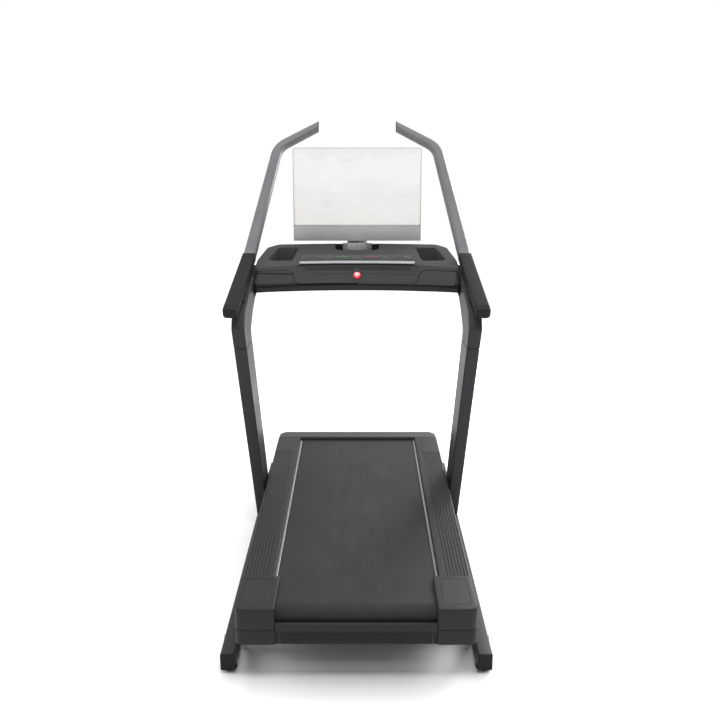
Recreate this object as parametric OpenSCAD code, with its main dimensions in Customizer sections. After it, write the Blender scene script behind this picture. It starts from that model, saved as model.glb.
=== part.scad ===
// Incline treadmill: floor frame, inclining running deck, lift frame, console, screen and handlebars.
// Millimetres. +Z is up, +Y points from the rear of the deck to the front, +X is the runner's right.
// The origin is on the floor, in the middle of the machine's length and width.

/* [Floor frame] */
// Width over the outer faces of the floor rails
frame_w = 940; // [930:1:950]
// Width of the floor rails, uprights and arms
tube_w = 50; // [46:1:52]
// Length of a floor rail
rail_len = 1778; // [1740:1:1800]
// Height of a floor rail
rail_h = 62; // [58:1:64]
// Gap between the floor and the rails, filled by the feet
foot_gap = 15; // [12:1:18]

/* [Uprights] */
// Backward lean of the uprights from the vertical, in degrees
lean = 29.8; // [29:0.1:30.5]
// Depth of an upright, square to its lean
upright_d = 150; // [130:1:155]
// Height of the seam between upright and arm
seam_z = 1011; // [1005:1:1015]

/* [Running deck] */
// Width of the deck over its skirts
deck_w = 804; // [796:1:808]
// Height of the foot rails' top above the floor
deck_top = 305; // [304:1:308]
// Height of the deck's lower edge above the floor
deck_bottom = 173; // [170:1:176]
// Width of the walking belt
belt_w = 558; // [540:1:560]
// Thickness of the walking belt
belt_t = 2.5; // [2:0.1:3]
// Radius of the front and rear rollers
roller_r = 37.7; // [37:0.1:37.8]
// Number of grooves in a foot rail
rib_count = 7; // [5:1:9]

/* [Screen] */
// Width of the screen
screen_w = 567; // [540:1:570]
// Height of the screen
screen_h = 405; // [395:1:408]
// Thickness of the screen
screen_t = 34; // [32:1:36]
// Backward tilt of the screen, in degrees
screen_tilt = 5.1; // [4:0.1:6]

/* [Handlebars] */
// Radius of the handlebar tube
bar_r = 22; // [20:0.5:22]
// Width of the padded lower grip
grip_w = 54; // [50:1:54]
// Height of the padded lower grip
grip_h = 40; // [38:1:40]

/* [Hidden] */
$fn = 48;
wall = 3;
rail_y0 = -844.5;
rail_y1 = rail_y0 + rail_len;
rail_z = foot_gap + rail_h;
rail_x = frame_w / 2 - tube_w;
rail_mid_x = rail_x + tube_w / 2;
rail_mid_z = foot_gap + rail_h / 2;
plug_t = 6;
rear_foot_y = -800;
stud_r = 6;

// transport wheels, on the inner faces of the floor rails
wheel_y = 886;
wheel_z = 42;
wheel_r = 34;
axle_r = 5;
hole_fit = 0.05;

// deck hinge, on the floor rails
pivot_y = -694.5;
pivot_z = 48;
pin_r = 10;
run_fit = 0.06;

// deck
deck_y0 = -933.5;
deck_y1 = 797.5;
cover_y = 706.5;
cap_y = -715;
rib_y1 = 497;
foot_x = 290;
belt_top = 290;
board_top = belt_top - belt_t;
board_t = 25;
belt_in_r = 38;
roller_z = board_top - belt_in_r;
front_roller_y = 712;
rear_roller_y = -866;
deck_rail_x = 300;
deck_rail_w = 40;
deck_rail_z0 = 180;
deck_rail_z1 = 262;
rail_end_y = -890;
tension_x = 320;
shaft_r = 8;
pulley_x = -298.5;
pulley_w = 8;
pulley_r = 34;
motor_y = 655;
motor_z = 155;
motor_pulley_r = 12.5;
drive_t = 3;

// lift frame
lift_y = -300;
lift_z = 44;
lift_len = 630;
lift_rest = 10.15;
lift_roller_r = 24.4;
lever_len = 85;
lever_rest = 74.95;
rod_z = 128;
lever_y = lift_y + lever_len * cos(lever_rest);

// power inlet's rocker switch
rocker_x = -170;
rocker_y = 864;
rocker_z = 44;

// console
console_hw = 419;
top_y0 = 110;
top_z0 = 1287;
top_slope = 10;
front_y = 58;
front_r = 1500;
front_axis_y = front_y - front_r;
pan_z = 1182;
seam_console_z = 1252;
swivel_y = 345;
drum_r = 64;
tray_floor = 1226;
key_x0 = 63;
key_x1 = 180;
key_xs = [-key_x1, -key_x0, key_x0, key_x1];

// screen
screen_y = 418.5;
screen_z = 1340;
bar_h = 68;
knuckle_y = 490;
hinge_z = 1420;

// handlebar centre line on the right side: rear end, lower bend, upper bend, tip
bar_rear = [465, -350, 1168];
bar_bend = [448, 160, 1312];
bar_elbow = [361, 604, 1739];
bar_tip = [179, 714, 1836];

// ---- helpers ----

function unit(v) = v / norm(v);

// corner i of a closed outline, replaced by an arc of radius r where r is above 0
function corner(pts, r, i) =
    let (
        n = len(pts),
        p = pts[i],
        a = unit(pts[(i + n - 1) % n] - p),
        b = unit(pts[(i + 1) % n] - p),
        half = acos(a * b) / 2,
        c = p + unit(a + b) * r / sin(half),
        t0 = p + a * r / tan(half) - c,
        s = (a.x * b.y - a.y * b.x) > 0 ? -1 : 1,
        sweep = (180 - 2 * half) * s,
        steps = 8
    )
    r <= 0 ? [p] : [for (k = [0:steps]) c + turn(t0, sweep * k / steps)];

function turn(v, a) = [v.x * cos(a) - v.y * sin(a), v.x * sin(a) + v.y * cos(a)];

function rounded(pts, rs) = [for (i = [0:len(pts) - 1]) each corner(pts, rs[i], i)];

// a closed counter-clockwise outline moved inwards by d
function inset(pts, d) =
    let (n = len(pts))
    [for (i = [0:n - 1])
        let (
            e0 = unit(pts[i] - pts[(i + n - 1) % n]),
            e1 = unit(pts[(i + 1) % n] - pts[i]),
            n0 = [-e0.y, e0.x],
            n1 = [-e1.y, e1.x]
        )
        pts[i] + d * (n0 + n1) / (1 + n0 * n1)];

module box(lo, hi) {
    translate(lo) cube(hi - lo);
}

// an outline in Y and Z, extruded along X from x0 to x1
module along_x(x0, x1) {
    translate([x0, 0, 0]) rotate([90, 0, 90]) linear_extrude(x1 - x0) children();
}

// an outline in X and Z, extruded along Y from y0 to y1
module along_y(y0, y1) {
    translate([0, y1, 0]) rotate([90, 0, 0]) linear_extrude(y1 - y0) children();
}

module rod_x(x0, x1, y, z, r) {
    translate([x0, y, z]) rotate([0, 90, 0]) cylinder(h = x1 - x0, r = r);
}

module rod_y(x, y0, y1, z, r) {
    translate([x, y0, z]) rotate([-90, 0, 0]) cylinder(h = y1 - y0, r = r);
}

module rod_z(x, y, z0, z1, r) {
    translate([x, y, z0]) cylinder(h = z1 - z0, r = r);
}

// a round rod between two points
module rod(p, q, r) {
    d = q - p;
    translate(p) rotate([0, acos(d.z / norm(d)), atan2(d.y, d.x)]) cylinder(h = norm(d), r = r);
}

module left_side() {
    mirror([1, 0, 0]) children();
}

module both_sides() {
    children();
    left_side() children();
}

module rounded_rect(w, h, r) {
    polygon(rounded([[-w / 2, -h / 2], [w / 2, -h / 2], [w / 2, h / 2], [-w / 2, h / 2]], [r, r, r, r]));
}

// ---- floor frame ----

module base_rail() {
    color([0.30, 0.31, 0.33]) difference() {
        translate([rail_mid_x, 0, rail_mid_z])
            along_y(rail_y0 + plug_t, rail_y1 - plug_t) difference() {
                rounded_rect(tube_w, rail_h, 5);
                rounded_rect(tube_w - 2 * wall, rail_h - 2 * wall, 3);
            }
        rod_x(rail_x - 5, frame_w / 2 + 5, pivot_y, pivot_z, pin_r + hole_fit);
        rod_z(rail_mid_x, rear_foot_y, 0, 40, stud_r + run_fit);
        rod_x(rail_x - 5, rail_x + 10, wheel_y, wheel_z, axle_r + hole_fit);
    }
}

module base_rail_right() {
    base_rail();
}

module base_rail_left() {
    left_side() base_rail();
}

// rectangular tube along X, between two corners
module tube_x(lo, hi) {
    difference() {
        box(lo, hi);
        box(lo + [-1, wall, wall], hi + [1, -wall, -wall]);
    }
}

module base_cross_members() {
    color([0.12, 0.12, 0.13]) {
        tube_x([-rail_x, -600, 19], [rail_x, -550, 50]);
        tube_x([-rail_x, -400, 19], [rail_x, -350, 50]);
        tube_x([-rail_x, 800, 19], [rail_x, 850, 69]);
        box([-22, -590, 50.2], [22, -560, 97.8]);
        both_sides() difference() {
            box([292, -349.8, 19], [302, -270, 72]);
            rod_x(290, 310, lift_y, lift_z, 12 + run_fit);
        }
        both_sides() box([rail_x - 50, 300, 19], [rail_x, 440, 27]);
    }
}

module rail_end_caps() {
    color([0.10, 0.10, 0.11]) both_sides() for (y = [rail_y0, rail_y1 - plug_t])
        translate([rail_mid_x, 0, rail_mid_z]) along_y(y, y + plug_t) rounded_rect(tube_w, rail_h, 5);
}

module front_feet() {
    color([0.08, 0.08, 0.08]) both_sides() rod_z(rail_mid_x, 830, 0, foot_gap, 24);
}

module rear_foot() {
    color([0.08, 0.08, 0.08]) translate([rail_mid_x, rear_foot_y, 0]) {
        cylinder(h = 8, r = 27);
        translate([0, 0, 8]) cylinder(h = foot_gap - 8.5, r1 = 27, r2 = 18);
        cylinder(h = 38, r = stud_r);
    }
}

module rear_foot_right() {
    rear_foot();
}

module rear_foot_left() {
    left_side() rear_foot();
}

module transport_wheel() {
    color([0.14, 0.14, 0.15]) difference() {
        rod_x(rail_x - 22, rail_x - 3, wheel_y, wheel_z, wheel_r);
        rod_x(rail_x - 30, rail_x, wheel_y, wheel_z, axle_r + run_fit);
        rod_x(rail_x - 23, rail_x - 17, wheel_y, wheel_z, 24);
    }
}

module transport_wheel_right() {
    transport_wheel();
}

module transport_wheel_left() {
    left_side() transport_wheel();
}

// rear face of an upright at height z
function upright_y(z) = 282.5 - (z - rail_z) * tan(lean);

module upright() {
    slab_w = upright_d / cos(lean);
    outline = [
        [upright_y(rail_z), rail_z],
        [upright_y(rail_z) + slab_w, rail_z],
        [upright_y(seam_z) + slab_w, seam_z],
        [upright_y(seam_z), seam_z]
    ];
    color([0.16, 0.17, 0.18]) difference() {
        along_x(rail_x, rail_x + tube_w) polygon(outline);
        along_x(rail_x + wall, rail_x + tube_w - wall) polygon(inset(outline, wall));
    }
}

module upright_right() {
    upright();
}

module upright_left() {
    left_side() upright();
}

arm_outline = [
    [upright_y(seam_z), seam_z + 0.6],
    [upright_y(seam_z) + upright_d / cos(lean), seam_z + 0.6],
    [-107, 1055],
    [-11, 1118],
    [64, 1149],
    [150, 1160],
    [150, 1276],
    [119, 1268],
    [-94, 1210],
    [-268, 1158],
    [-303, 1098]
];
arm_radii = [0, 0, 30, 60, 40, 12, 8, 0, 0, 22, 26];

module arm() {
    color([0.27, 0.28, 0.30]) {
        difference() {
            along_x(rail_x, rail_x + tube_w) polygon(rounded(arm_outline, arm_radii));
            along_x(rail_x + wall, rail_x + tube_w - wall) polygon(inset(arm_outline, 6));
        }
        for (y = [-200, 60]) box([rail_x + 12, y, 1120], [rail_x + 38, y + 30, handle_under(y) - 0.9]);
    }
}

// height of the grip's underside above the arm at y
function handle_under(y) =
    bar_rear.z + (bar_bend.z - bar_rear.z) * (y - bar_rear.y) / (bar_bend.y - bar_rear.y) - grip_h / 2;

module arm_right() {
    arm();
}

module arm_left() {
    left_side() arm();
}

module frame_bolts() {
    color([0.20, 0.20, 0.21]) both_sides() {
        rod_x(393, frame_w / 2 + 2, pivot_y, pivot_z, pin_r);
        rod_x(frame_w / 2, frame_w / 2 + 8, pivot_y, pivot_z, 12.5);
        rod_x(rail_x - 26, rail_x + 10, wheel_y, wheel_z, axle_r);
        rod_x(rail_x - 27, rail_x - 22.3, wheel_y, wheel_z, 9);
        for (y = [330, 400]) rod_z(rail_x - 15, y, 27, 35, 8);
    }
}

// ---- console ----

// plan outline of the console, moved inwards by d
function console_plan(d) =
    let (
        hw = console_hw - d,
        right = [[hw, 60 + d], [hw, 155], [394 - d, 320], [349 - d, 368 - d]],
        left = [for (i = [3:-1:0]) [-right[i].x, right[i].y]],
        pts = concat(right, [[0, 386 - d]], left)
    )
    rounded(pts, [0, 60, 30, 40, 0, 40, 30, 60, 0]);

// raises children from the console's sloping top face; y runs up the slope
module on_console() {
    translate([0, top_y0, top_z0]) rotate([top_slope, 0, 0]) children();
}

module below_console_top(lift) {
    translate([0, top_y0, top_z0 + lift]) rotate([top_slope, 0, 0])
        box([-500, -200, -300], [500, 500, 0]);
}

module swivel_pocket() {
    rod_z(0, swivel_y, 1296, 1400, drum_r + 9);
    box([-96, swivel_y - 40, 1296], [96, 420, 1400]);
}

// storage wells: outline in plan, moved inwards by d
function tray_plan(d) =
    rounded(inset([[268, 140], [375, 140], [342, 315], [252, 315]], d), [18, 18, 18, 18]);

module fascia_sweep() {
    intersection() {
        translate([0, front_axis_y, 0]) rotate([0, 0, 73])
            rotate_extrude(angle = 34, $fn = 360) translate([-front_axis_y, 0]) children();
        box([-console_hw, -100, 1000], [console_hw, 300, 1500]);
    }
}

module console_base() {
    color([0.20, 0.20, 0.21]) {
        difference() {
            translate([0, 0, pan_z]) linear_extrude(seam_console_z - pan_z) polygon(console_plan(6));
            translate([0, 0, pan_z + 4]) linear_extrude(100) polygon(console_plan(10));
            translate([0, front_axis_y, 1100]) cylinder(h = 300, r = front_r + 22, $fn = 360);
            translate([0, front_axis_y, 1226]) cylinder(h = 100, r = front_r + 37, $fn = 360);
        }
        box([-70, 300, pan_z + 4], [70, 366, 1294]);
        both_sides() box([console_hw - 12, 70, pan_z + 20], [console_hw, 140, 1240]);
    }
}

module console_top() {
    color([0.33, 0.34, 0.36]) difference() {
        intersection() {
            translate([0, 0, seam_console_z]) linear_extrude(120) polygon(console_plan(0));
            below_console_top(0);
        }
        intersection() {
            translate([0, 0, seam_console_z - 5]) linear_extrude(120) polygon(console_plan(4));
            below_console_top(-5);
        }
        translate([0, front_axis_y, 1100]) cylinder(h = 300, r = front_r + 55, $fn = 360);
        swivel_pocket();
        both_sides() translate([0, 0, 1200]) linear_extrude(200) polygon(tray_plan(-0.3));
        on_console() for (x = key_xs) box([x - 37, 62, -10], [x + 37, 90, 5]);
    }
}

// cross-section of the curved front at the middle of the console
fascia_outline = [
    [front_y, 1208], [66, pan_z + 4], [70, pan_z], [79.5, pan_z], [79.5, pan_z + 5], [72, pan_z + 7],
    [65, 1208], [112, 1281], [106, 1284]
];

module console_fascia() {
    color([0.36, 0.37, 0.39]) difference() {
        fascia_sweep() polygon(fascia_outline);
        safety_axis() cylinder(h = 60, r = 5 + run_fit, center = true);
    }
}

module safety_axis() {
    translate([0, 79, 1238]) rotate([57.3, 0, 0]) children();
}

module storage_trays() {
    color([0.30, 0.31, 0.33]) both_sides() difference() {
        intersection() {
            translate([0, 0, tray_floor - 3]) linear_extrude(150) polygon(tray_plan(0));
            below_console_top(0);
        }
        translate([0, 0, tray_floor]) linear_extrude(150) polygon(tray_plan(3));
    }
}

module key_panel() {
    color([0.24, 0.25, 0.26]) on_console() difference() {
        translate([0, 78, 0]) linear_extrude(1.2) rounded_rect(470, 60, 6);
        for (x = key_xs) box([x - 36, 64, -1], [x + 36, 88, 3]);
    }
}

module tablet_rest() {
    color([0.75, 0.76, 0.77]) intersection() {
        fascia_sweep()
            polygon([[98, 1285.5], [106, 1285.5], [109, 1289], [121, 1291], [121, 1296], [97, 1290]]);
        box([-236, 0, 1200], [236, 300, 1400]);
    }
}

module console_board() {
    color([0.08, 0.28, 0.14]) box([-200, 190, 1230], [200, 290, 1234]);
}

module key(x, tint) {
    color(tint) on_console() {
        translate([x, 76, -6]) linear_extrude(8.5) rounded_rect(70, 22, 4);
    }
}

module start_key() {
    key(-key_x0, [0.20, 0.42, 0.24]);
}

module stop_key() {
    key(key_x0, [0.52, 0.22, 0.22]);
}

module speed_key() {
    key(key_x1, [0.25, 0.26, 0.27]);
}

module incline_key() {
    key(-key_x1, [0.25, 0.26, 0.27]);
}

module safety_key() {
    color([0.85, 0.10, 0.12]) safety_axis() {
        translate([0, 0, 2.4]) cylinder(h = 8, r = 16);
        translate([0, 0, -16]) cylinder(h = 20, r = 5);
    }
}

// ---- handlebars ----

module handlebar() {
    color([0.35, 0.36, 0.38]) difference() {
        union() {
            rod(bar_rear + 10 * unit(bar_bend - bar_rear), bar_bend, bar_r - 5);
            rod(bar_bend, bar_elbow, bar_r);
            rod(bar_elbow, bar_tip, bar_r);
            for (p = [bar_bend, bar_elbow]) translate(p) sphere(r = bar_r + 0.3);
        }
        rod(bar_bend, bar_elbow, bar_r - 3);
        rod(bar_elbow, bar_tip + 5 * unit(bar_tip - bar_elbow), bar_r - 3);
        translate(bar_elbow) sphere(r = bar_r - 2.7);
    }
}

module handlebar_right() {
    handlebar();
}

module handlebar_left() {
    left_side() handlebar();
}

// frame whose z runs along the grip, with x level
module along_grip() {
    d = bar_bend - bar_rear;
    translate(bar_rear) rotate([0, 0, atan2(d.y, d.x) - 90]) rotate([asin(d.z / norm(d)) - 90, 0, 0])
        children();
}

module handle_grips() {
    color([0.20, 0.20, 0.21]) both_sides() difference() {
        along_grip() translate([0, 0, 10]) linear_extrude(norm(bar_bend - bar_rear) - 30)
            rounded_rect(grip_w, grip_h, 9);
        rod(bar_rear, bar_bend, bar_r - 4.9);
    }
}

module handlebar_caps() {
    tip_dir = unit(bar_tip - bar_elbow);
    color([0.06, 0.06, 0.06]) both_sides() {
        along_grip() linear_extrude(10) rounded_rect(grip_w, grip_h, 9);
        rod(bar_tip, bar_tip + tip_dir * 3, bar_r);
    }
}

// ---- power ----

module power_inlet() {
    color([0.05, 0.05, 0.05]) difference() {
        box([-240, 850, 22], [-136, 872, 66]);
        box([-230, 854, 32], [-188, 880, 56]);
        box([rocker_x - 0.5, 853, rocker_z - 11.5], [rocker_x + 22.5, 880, rocker_z + 11.5]);
    }
    color([0.70, 0.70, 0.68]) for (x = [-220, -211, -202]) box([x, 853.5, 40], [x + 2, 866, 47]);
}

module power_switch() {
    color([0.55, 0.08, 0.08]) translate([0, rocker_y, rocker_z])
        along_x(rocker_x, rocker_x + 22) intersection() {
            circle(r = 10);
            polygon([[-12, -12], [5, -12], [9.8, 0], [7, 12], [-12, 12]]);
        }
}

// ---- lift ----

module lift_motor() {
    color([0.30, 0.31, 0.32]) {
        difference() {
            rod_y(0, -640, -430, rod_z, 30);
            rod_y(0, -600, -420, rod_z, 13);
        }
        rod_y(70, -640, -500, rod_z, 32);
        box([20, -638, rod_z - 20], [60, -610, rod_z + 20]);
    }
}

module lift_rod() {
    color([0.62, 0.63, 0.65]) {
        rod_y(0, -540, lever_y - 20, rod_z, 12);
        difference() {
            box([-7, lever_y - 24, rod_z - 18], [7, lever_y + 16, rod_z + 18]);
            rod_x(-10, 10, lever_y, rod_z - 6, 7);
            rod_x(-10, 10, lever_y, rod_z + 3, 7);
            box([-10, lever_y - 7, rod_z - 6], [10, lever_y + 7, rod_z + 3]);
        }
    }
}

module lift_frame() {
    color([0.16, 0.17, 0.18]) {
        difference() {
            rod_x(-290, 290, lift_y, lift_z, 20);
            rod_x(-280, 280, lift_y, lift_z, 15);
        }
        both_sides() rod_x(285, 308, lift_y, lift_z, 12);
        translate([0, lift_y, lift_z]) rotate([lift_rest, 0, 0]) {
            both_sides() difference() {
                box([255, 16, -18], [285, lift_len + 20, 18]);
                box([258, 20, -15], [282, lift_len + 17, 15]);
            }
            tube_x([-256, 300, -14], [256, 330, 14]);
            rod_x(-345, 345, lift_len, 0, 8);
        }
        translate([0, lift_y, lift_z]) rotate([lever_rest, 0, 0]) {
            both_sides() box([9, 17, -12], [16, lever_len, 12]);
            both_sides() rod_x(9, 16, lever_len, 0, 12);
            rod_x(-16, 16, lever_len, 0, 6);
        }
    }
}

module lift_rollers() {
    color([0.55, 0.55, 0.56]) translate([0, lift_y, lift_z]) rotate([lift_rest, 0, 0])
        both_sides() difference() {
            rod_x(303, 337, lift_len, 0, lift_roller_r);
            rod_x(300, 340, lift_len, 0, 8 + run_fit);
        }
}

// ---- screen ----

// frame of the tilted screen: origin at the middle of the lower front edge
module on_screen() {
    translate([0, screen_y, screen_z]) rotate([-screen_tilt, 0, 0]) children();
}

module screen_post() {
    color([0.66, 0.67, 0.69]) {
        rod_z(0, swivel_y, 1297, 1348, drum_r);
        box([-45, swivel_y, 1299], [45, knuckle_y + 12, 1330]);
        box([-45, knuckle_y - 12, 1299], [45, knuckle_y + 12, 1390]);
        difference() {
            union() {
                box([-45, knuckle_y - 12, 1380], [45, knuckle_y + 12, hinge_z]);
                rod_x(-45, 45, knuckle_y, hinge_z, 12);
            }
            rod_x(-50, 50, knuckle_y, hinge_z, 6 + run_fit);
        }
    }
}

module screen_back() {
    color([0.50, 0.51, 0.52]) {
        on_screen() difference() {
            along_y(4, screen_t) translate([0, screen_h / 2]) rounded_rect(screen_w, screen_h, 12);
            along_y(0, screen_t - 4) translate([0, screen_h / 2])
                rounded_rect(screen_w - 8, screen_h - 8, 10);
        }
        both_sides() {
            rod_x(49, 67, knuckle_y, hinge_z, 12);
            box([49, 456, hinge_z - 14], [67, knuckle_y, hinge_z + 12]);
        }
        rod_x(-60, 60, knuckle_y, hinge_z, 6);
    }
}

module screen_glass() {
    color([0.88, 0.89, 0.90]) on_screen() along_y(0, 4) intersection() {
        translate([0, screen_h / 2]) rounded_rect(screen_w, screen_h, 12);
        translate([-screen_w / 2, bar_h]) square([screen_w, screen_h]);
    }
}

module screen_bar() {
    color([0.55, 0.56, 0.57]) on_screen() along_y(0, 4) intersection() {
        translate([0, screen_h / 2]) rounded_rect(screen_w, screen_h, 12);
        translate([-screen_w / 2, 0]) square([screen_w, bar_h - 0.5]);
    }
}

// ---- running deck ----

module deck_rail() {
    color([0.18, 0.18, 0.19]) {
        difference() {
            along_y(rail_end_y, 780) translate([deck_rail_x, deck_rail_z0]) difference() {
                square([deck_rail_w, deck_rail_z1 - deck_rail_z0]);
                translate([wall, wall])
                    square([deck_rail_w - 2 * wall, deck_rail_z1 - deck_rail_z0 - 2 * wall]);
            }
            for (y = [front_roller_y, rear_roller_y])
                rod_x(deck_rail_x - 10, deck_rail_x + 50, y, roller_z, shaft_r + run_fit);
        }
        difference() {
            box([deck_rail_x, rail_end_y - 3, deck_rail_z0],
                [deck_rail_x + deck_rail_w, rail_end_y, deck_rail_z1]);
            rod_y(tension_x, rail_end_y - 5, rail_end_y + 5, roller_z, 5 + hole_fit);
        }
        difference() {
            union() {
                box([deck_rail_x, pivot_y - 60, 150], [412, pivot_y + 60, 168]);
                box([deck_rail_x, pivot_y - 60, 160],
                    [deck_rail_x + deck_rail_w, pivot_y + 60, deck_rail_z0 - 0.2]);
                box([396, pivot_y - 26, pivot_z], [412, pivot_y + 26, 155]);
                rod_x(396, 412, pivot_y, pivot_z, 26);
            }
            rod_x(380, 420, pivot_y, pivot_z, pin_r + run_fit);
        }
    }
}

module deck_rail_right() {
    deck_rail();
}

module deck_rail_left() {
    left_side() deck_rail();
}

module deck_cross_members() {
    color([0.18, 0.18, 0.19]) for (y = [-740, -250, 240, 590])
        tube_x([-deck_rail_x, y, 218], [deck_rail_x, y + 45, 245]);
}

module walking_board() {
    hw = belt_w / 2 + 0.4;
    color([0.25, 0.22, 0.19]) box([-hw, -810, board_top - board_t], [hw, 655, board_top]);
}

module deck_cushions() {
    color([0.10, 0.10, 0.10]) both_sides() for (y = [-717, -227, 263, 612])
        rod_z(240, y, 245, board_top - board_t, 20);
}

// cross-section of a foot rail; ribs cut into its top where ribbed is 1
module foot_profile(ribbed) {
    hw = deck_w / 2;
    difference() {
        polygon(rounded(
            [[foot_x, 288], [foot_x + 4, 288], [foot_x + 4, deck_top - 5], [hw - 3, deck_top - 5],
                [hw - 3, deck_bottom], [hw, deck_bottom], [hw, deck_top], [foot_x, deck_top]],
            [0, 0, 0, 0, 0, 0, 5, 3]));
        if (ribbed == 1) for (k = [0:rib_count - 1])
            translate([hw - 12 - k * 84 / rib_count, deck_top - 2.6]) square([4, 5]);
    }
}

module foot_rail() {
    color([0.27, 0.28, 0.29]) {
        along_y(cap_y + 0.5, rib_y1) foot_profile(1);
        along_y(rib_y1, cover_y - 0.5) foot_profile(0);
        for (y = [-600, -200, 200, 600])
            box([deck_rail_x + 2, y, deck_rail_z1], [deck_w / 2 - 1, y + 40, deck_top - 4]);
    }
}

module foot_rail_right() {
    foot_rail();
}

module foot_rail_left() {
    left_side() foot_rail();
}

module belt_edge_strips() {
    color([0.72, 0.73, 0.74]) both_sides() box([belt_w / 2 + 1, cap_y, 281], [foot_x - 0.3, cover_y, 291]);
}

module rear_cap() {
    hw = deck_w / 2;
    plan = rounded([[269, deck_y0], [hw, deck_y0], [hw, cap_y], [269, cap_y]], [0, 26, 0, 0]);
    face = rounded([[269, deck_bottom], [hw, deck_bottom], [hw, deck_top], [269, deck_top]], [0, 18, 5, 3]);
    color([0.28, 0.29, 0.30]) difference() {
        intersection() {
            translate([0, 0, 100]) linear_extrude(300) polygon(plan);
            along_y(deck_y0 - 1, cap_y + 1) polygon(face);
        }
        box([268, deck_y0 + 20, deck_bottom - 1], [foot_x + 5, cap_y + 1, belt_top + 2]);
        box([foot_x, deck_y0 + 20, deck_bottom + 4], [hw - 4, cap_y + 1, deck_top - 5]);
        box([deck_rail_x - 2, deck_y0 + 20, deck_bottom - 1],
            [deck_rail_x + deck_rail_w + 2, cap_y + 1, 270]);
    }
}

module rear_cap_right() {
    rear_cap();
}

module rear_cap_left() {
    left_side() rear_cap();
}

module rear_apron() {
    color([0.22, 0.22, 0.23]) along_x(-268.7, 268.7) polygon(rounded(
        [[deck_y0, 222], [deck_y0 + 4, 222], [deck_y0 + 4, deck_bottom], [deck_y0 + 14, deck_bottom],
            [deck_y0 + 14, 249], [deck_y0, 249]],
        [0, 0, 3, 0, 3, 5]));
}

module front_cover() {
    hw = deck_w / 2;
    edge = [[-hw, cover_y], [hw, cover_y], [hw, deck_y1], [-hw, deck_y1]];
    plan = rounded(edge, [0, 0, 45, 45]);
    inner = rounded(inset(edge, 4), [0, 0, 41, 41]);
    color([0.38, 0.39, 0.41]) difference() {
        translate([0, 0, deck_bottom]) linear_extrude(deck_top - deck_bottom) polygon(plan);
        translate([0, 0, deck_bottom - 5]) linear_extrude(deck_top - deck_bottom + 1) polygon(inner);
        box([-foot_x, cover_y - 1, deck_bottom - 1], [foot_x, cover_y + 5, belt_top + 3]);
        both_sides() box([foot_x - 1, cover_y - 1, deck_bottom - 1], [deck_rail_x + 45, cover_y + 5, 290]);
    }
}

// the walking belt: a loop round both rollers
module walking_belt() {
    r = belt_in_r;
    color([0.16, 0.16, 0.17]) along_x(-belt_w / 2, belt_w / 2) difference() {
        union() {
            translate([rear_roller_y, roller_z - r - belt_t])
                square([front_roller_y - rear_roller_y, 2 * (r + belt_t)]);
            translate([rear_roller_y, roller_z]) circle(r = r + belt_t, $fn = 96);
            translate([front_roller_y, roller_z]) circle(r = r + belt_t, $fn = 96);
        }
        translate([rear_roller_y, roller_z - r]) square([front_roller_y - rear_roller_y, 2 * r]);
        translate([rear_roller_y, roller_z]) circle(r = r, $fn = 96);
        translate([front_roller_y, roller_z]) circle(r = r, $fn = 96);
    }
}

module drive_motor() {
    color([0.13, 0.13, 0.14]) difference() {
        union() {
            rod_x(-250, -60, motor_y, motor_z, 48);
            rod_x(-262, -250, motor_y, motor_z, 38);
            box([-230, motor_y - 30, 103.2], [-90, motor_y + 30, 120]);
        }
        rod_x(-270, -200, motor_y, motor_z, 9 + run_fit);
    }
}

module motor_pulley() {
    color([0.60, 0.61, 0.62]) {
        rod_x(-270, -205, motor_y, motor_z, 9);
        rod_x(pulley_x, pulley_x + pulley_w, motor_y, motor_z, motor_pulley_r);
        rod_x(pulley_x, -265, motor_y, motor_z, 9);
    }
}

// outline of a loop round two wheels of radii a and b whose centres are d apart along +X
function loop(a, b, d) =
    let (
        k = acos((a - b) / d),
        steps = 24,
        far = [for (i = [0:steps]) k + i * (360 - 2 * k) / steps],
        near = [for (i = [0:steps]) -k + i * 2 * k / steps]
    )
    concat([for (t = far) [a * cos(t), a * sin(t)]], [for (t = near) [d + b * cos(t), b * sin(t)]]);

module drive_belt() {
    v = [motor_y - front_roller_y, motor_z - roller_z];
    gap = 0.3;
    color([0.07, 0.07, 0.07]) along_x(pulley_x + 1, pulley_x + pulley_w - 1)
        translate([front_roller_y, roller_z]) rotate(atan2(v.y, v.x)) difference() {
            polygon(loop(pulley_r + gap + drive_t, motor_pulley_r + gap + drive_t, norm(v)));
            polygon(loop(pulley_r + gap, motor_pulley_r + gap, norm(v)));
        }
}

module motor_pan() {
    color([0.12, 0.12, 0.12]) {
        difference() {
            box([-338, 585, 100], [338, 785, 176]);
            box([-335, 588, 103], [335, 782, 180]);
        }
        both_sides() box([303, 585, 176], [338, 785, 179.6]);
        box([60, 640, 103], [220, 740, 135]);
    }
}

module tension_bolts() {
    color([0.55, 0.55, 0.56]) both_sides() {
        rod_y(tension_x, rail_end_y - 3, rear_roller_y - shaft_r - 0.5, roller_z, 5);
        rod_y(tension_x, rail_end_y - 10, rail_end_y - 3, roller_z, 8);
    }
}

// steel tube with closed ends on a through shaft
module roller(y) {
    difference() {
        rod_x(-belt_w / 2, belt_w / 2, y, roller_z, roller_r);
        rod_x(5 - belt_w / 2, belt_w / 2 - 5, y, roller_z, roller_r - 4);
    }
    rod_x(-345, 345, y, roller_z, shaft_r);
}

module front_roller() {
    color([0.62, 0.63, 0.64]) {
        roller(front_roller_y);
        rod_x(pulley_x, pulley_x + pulley_w, front_roller_y, roller_z, pulley_r);
    }
}

module rear_roller() {
    color([0.62, 0.63, 0.64]) roller(rear_roller_y);
}

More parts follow.
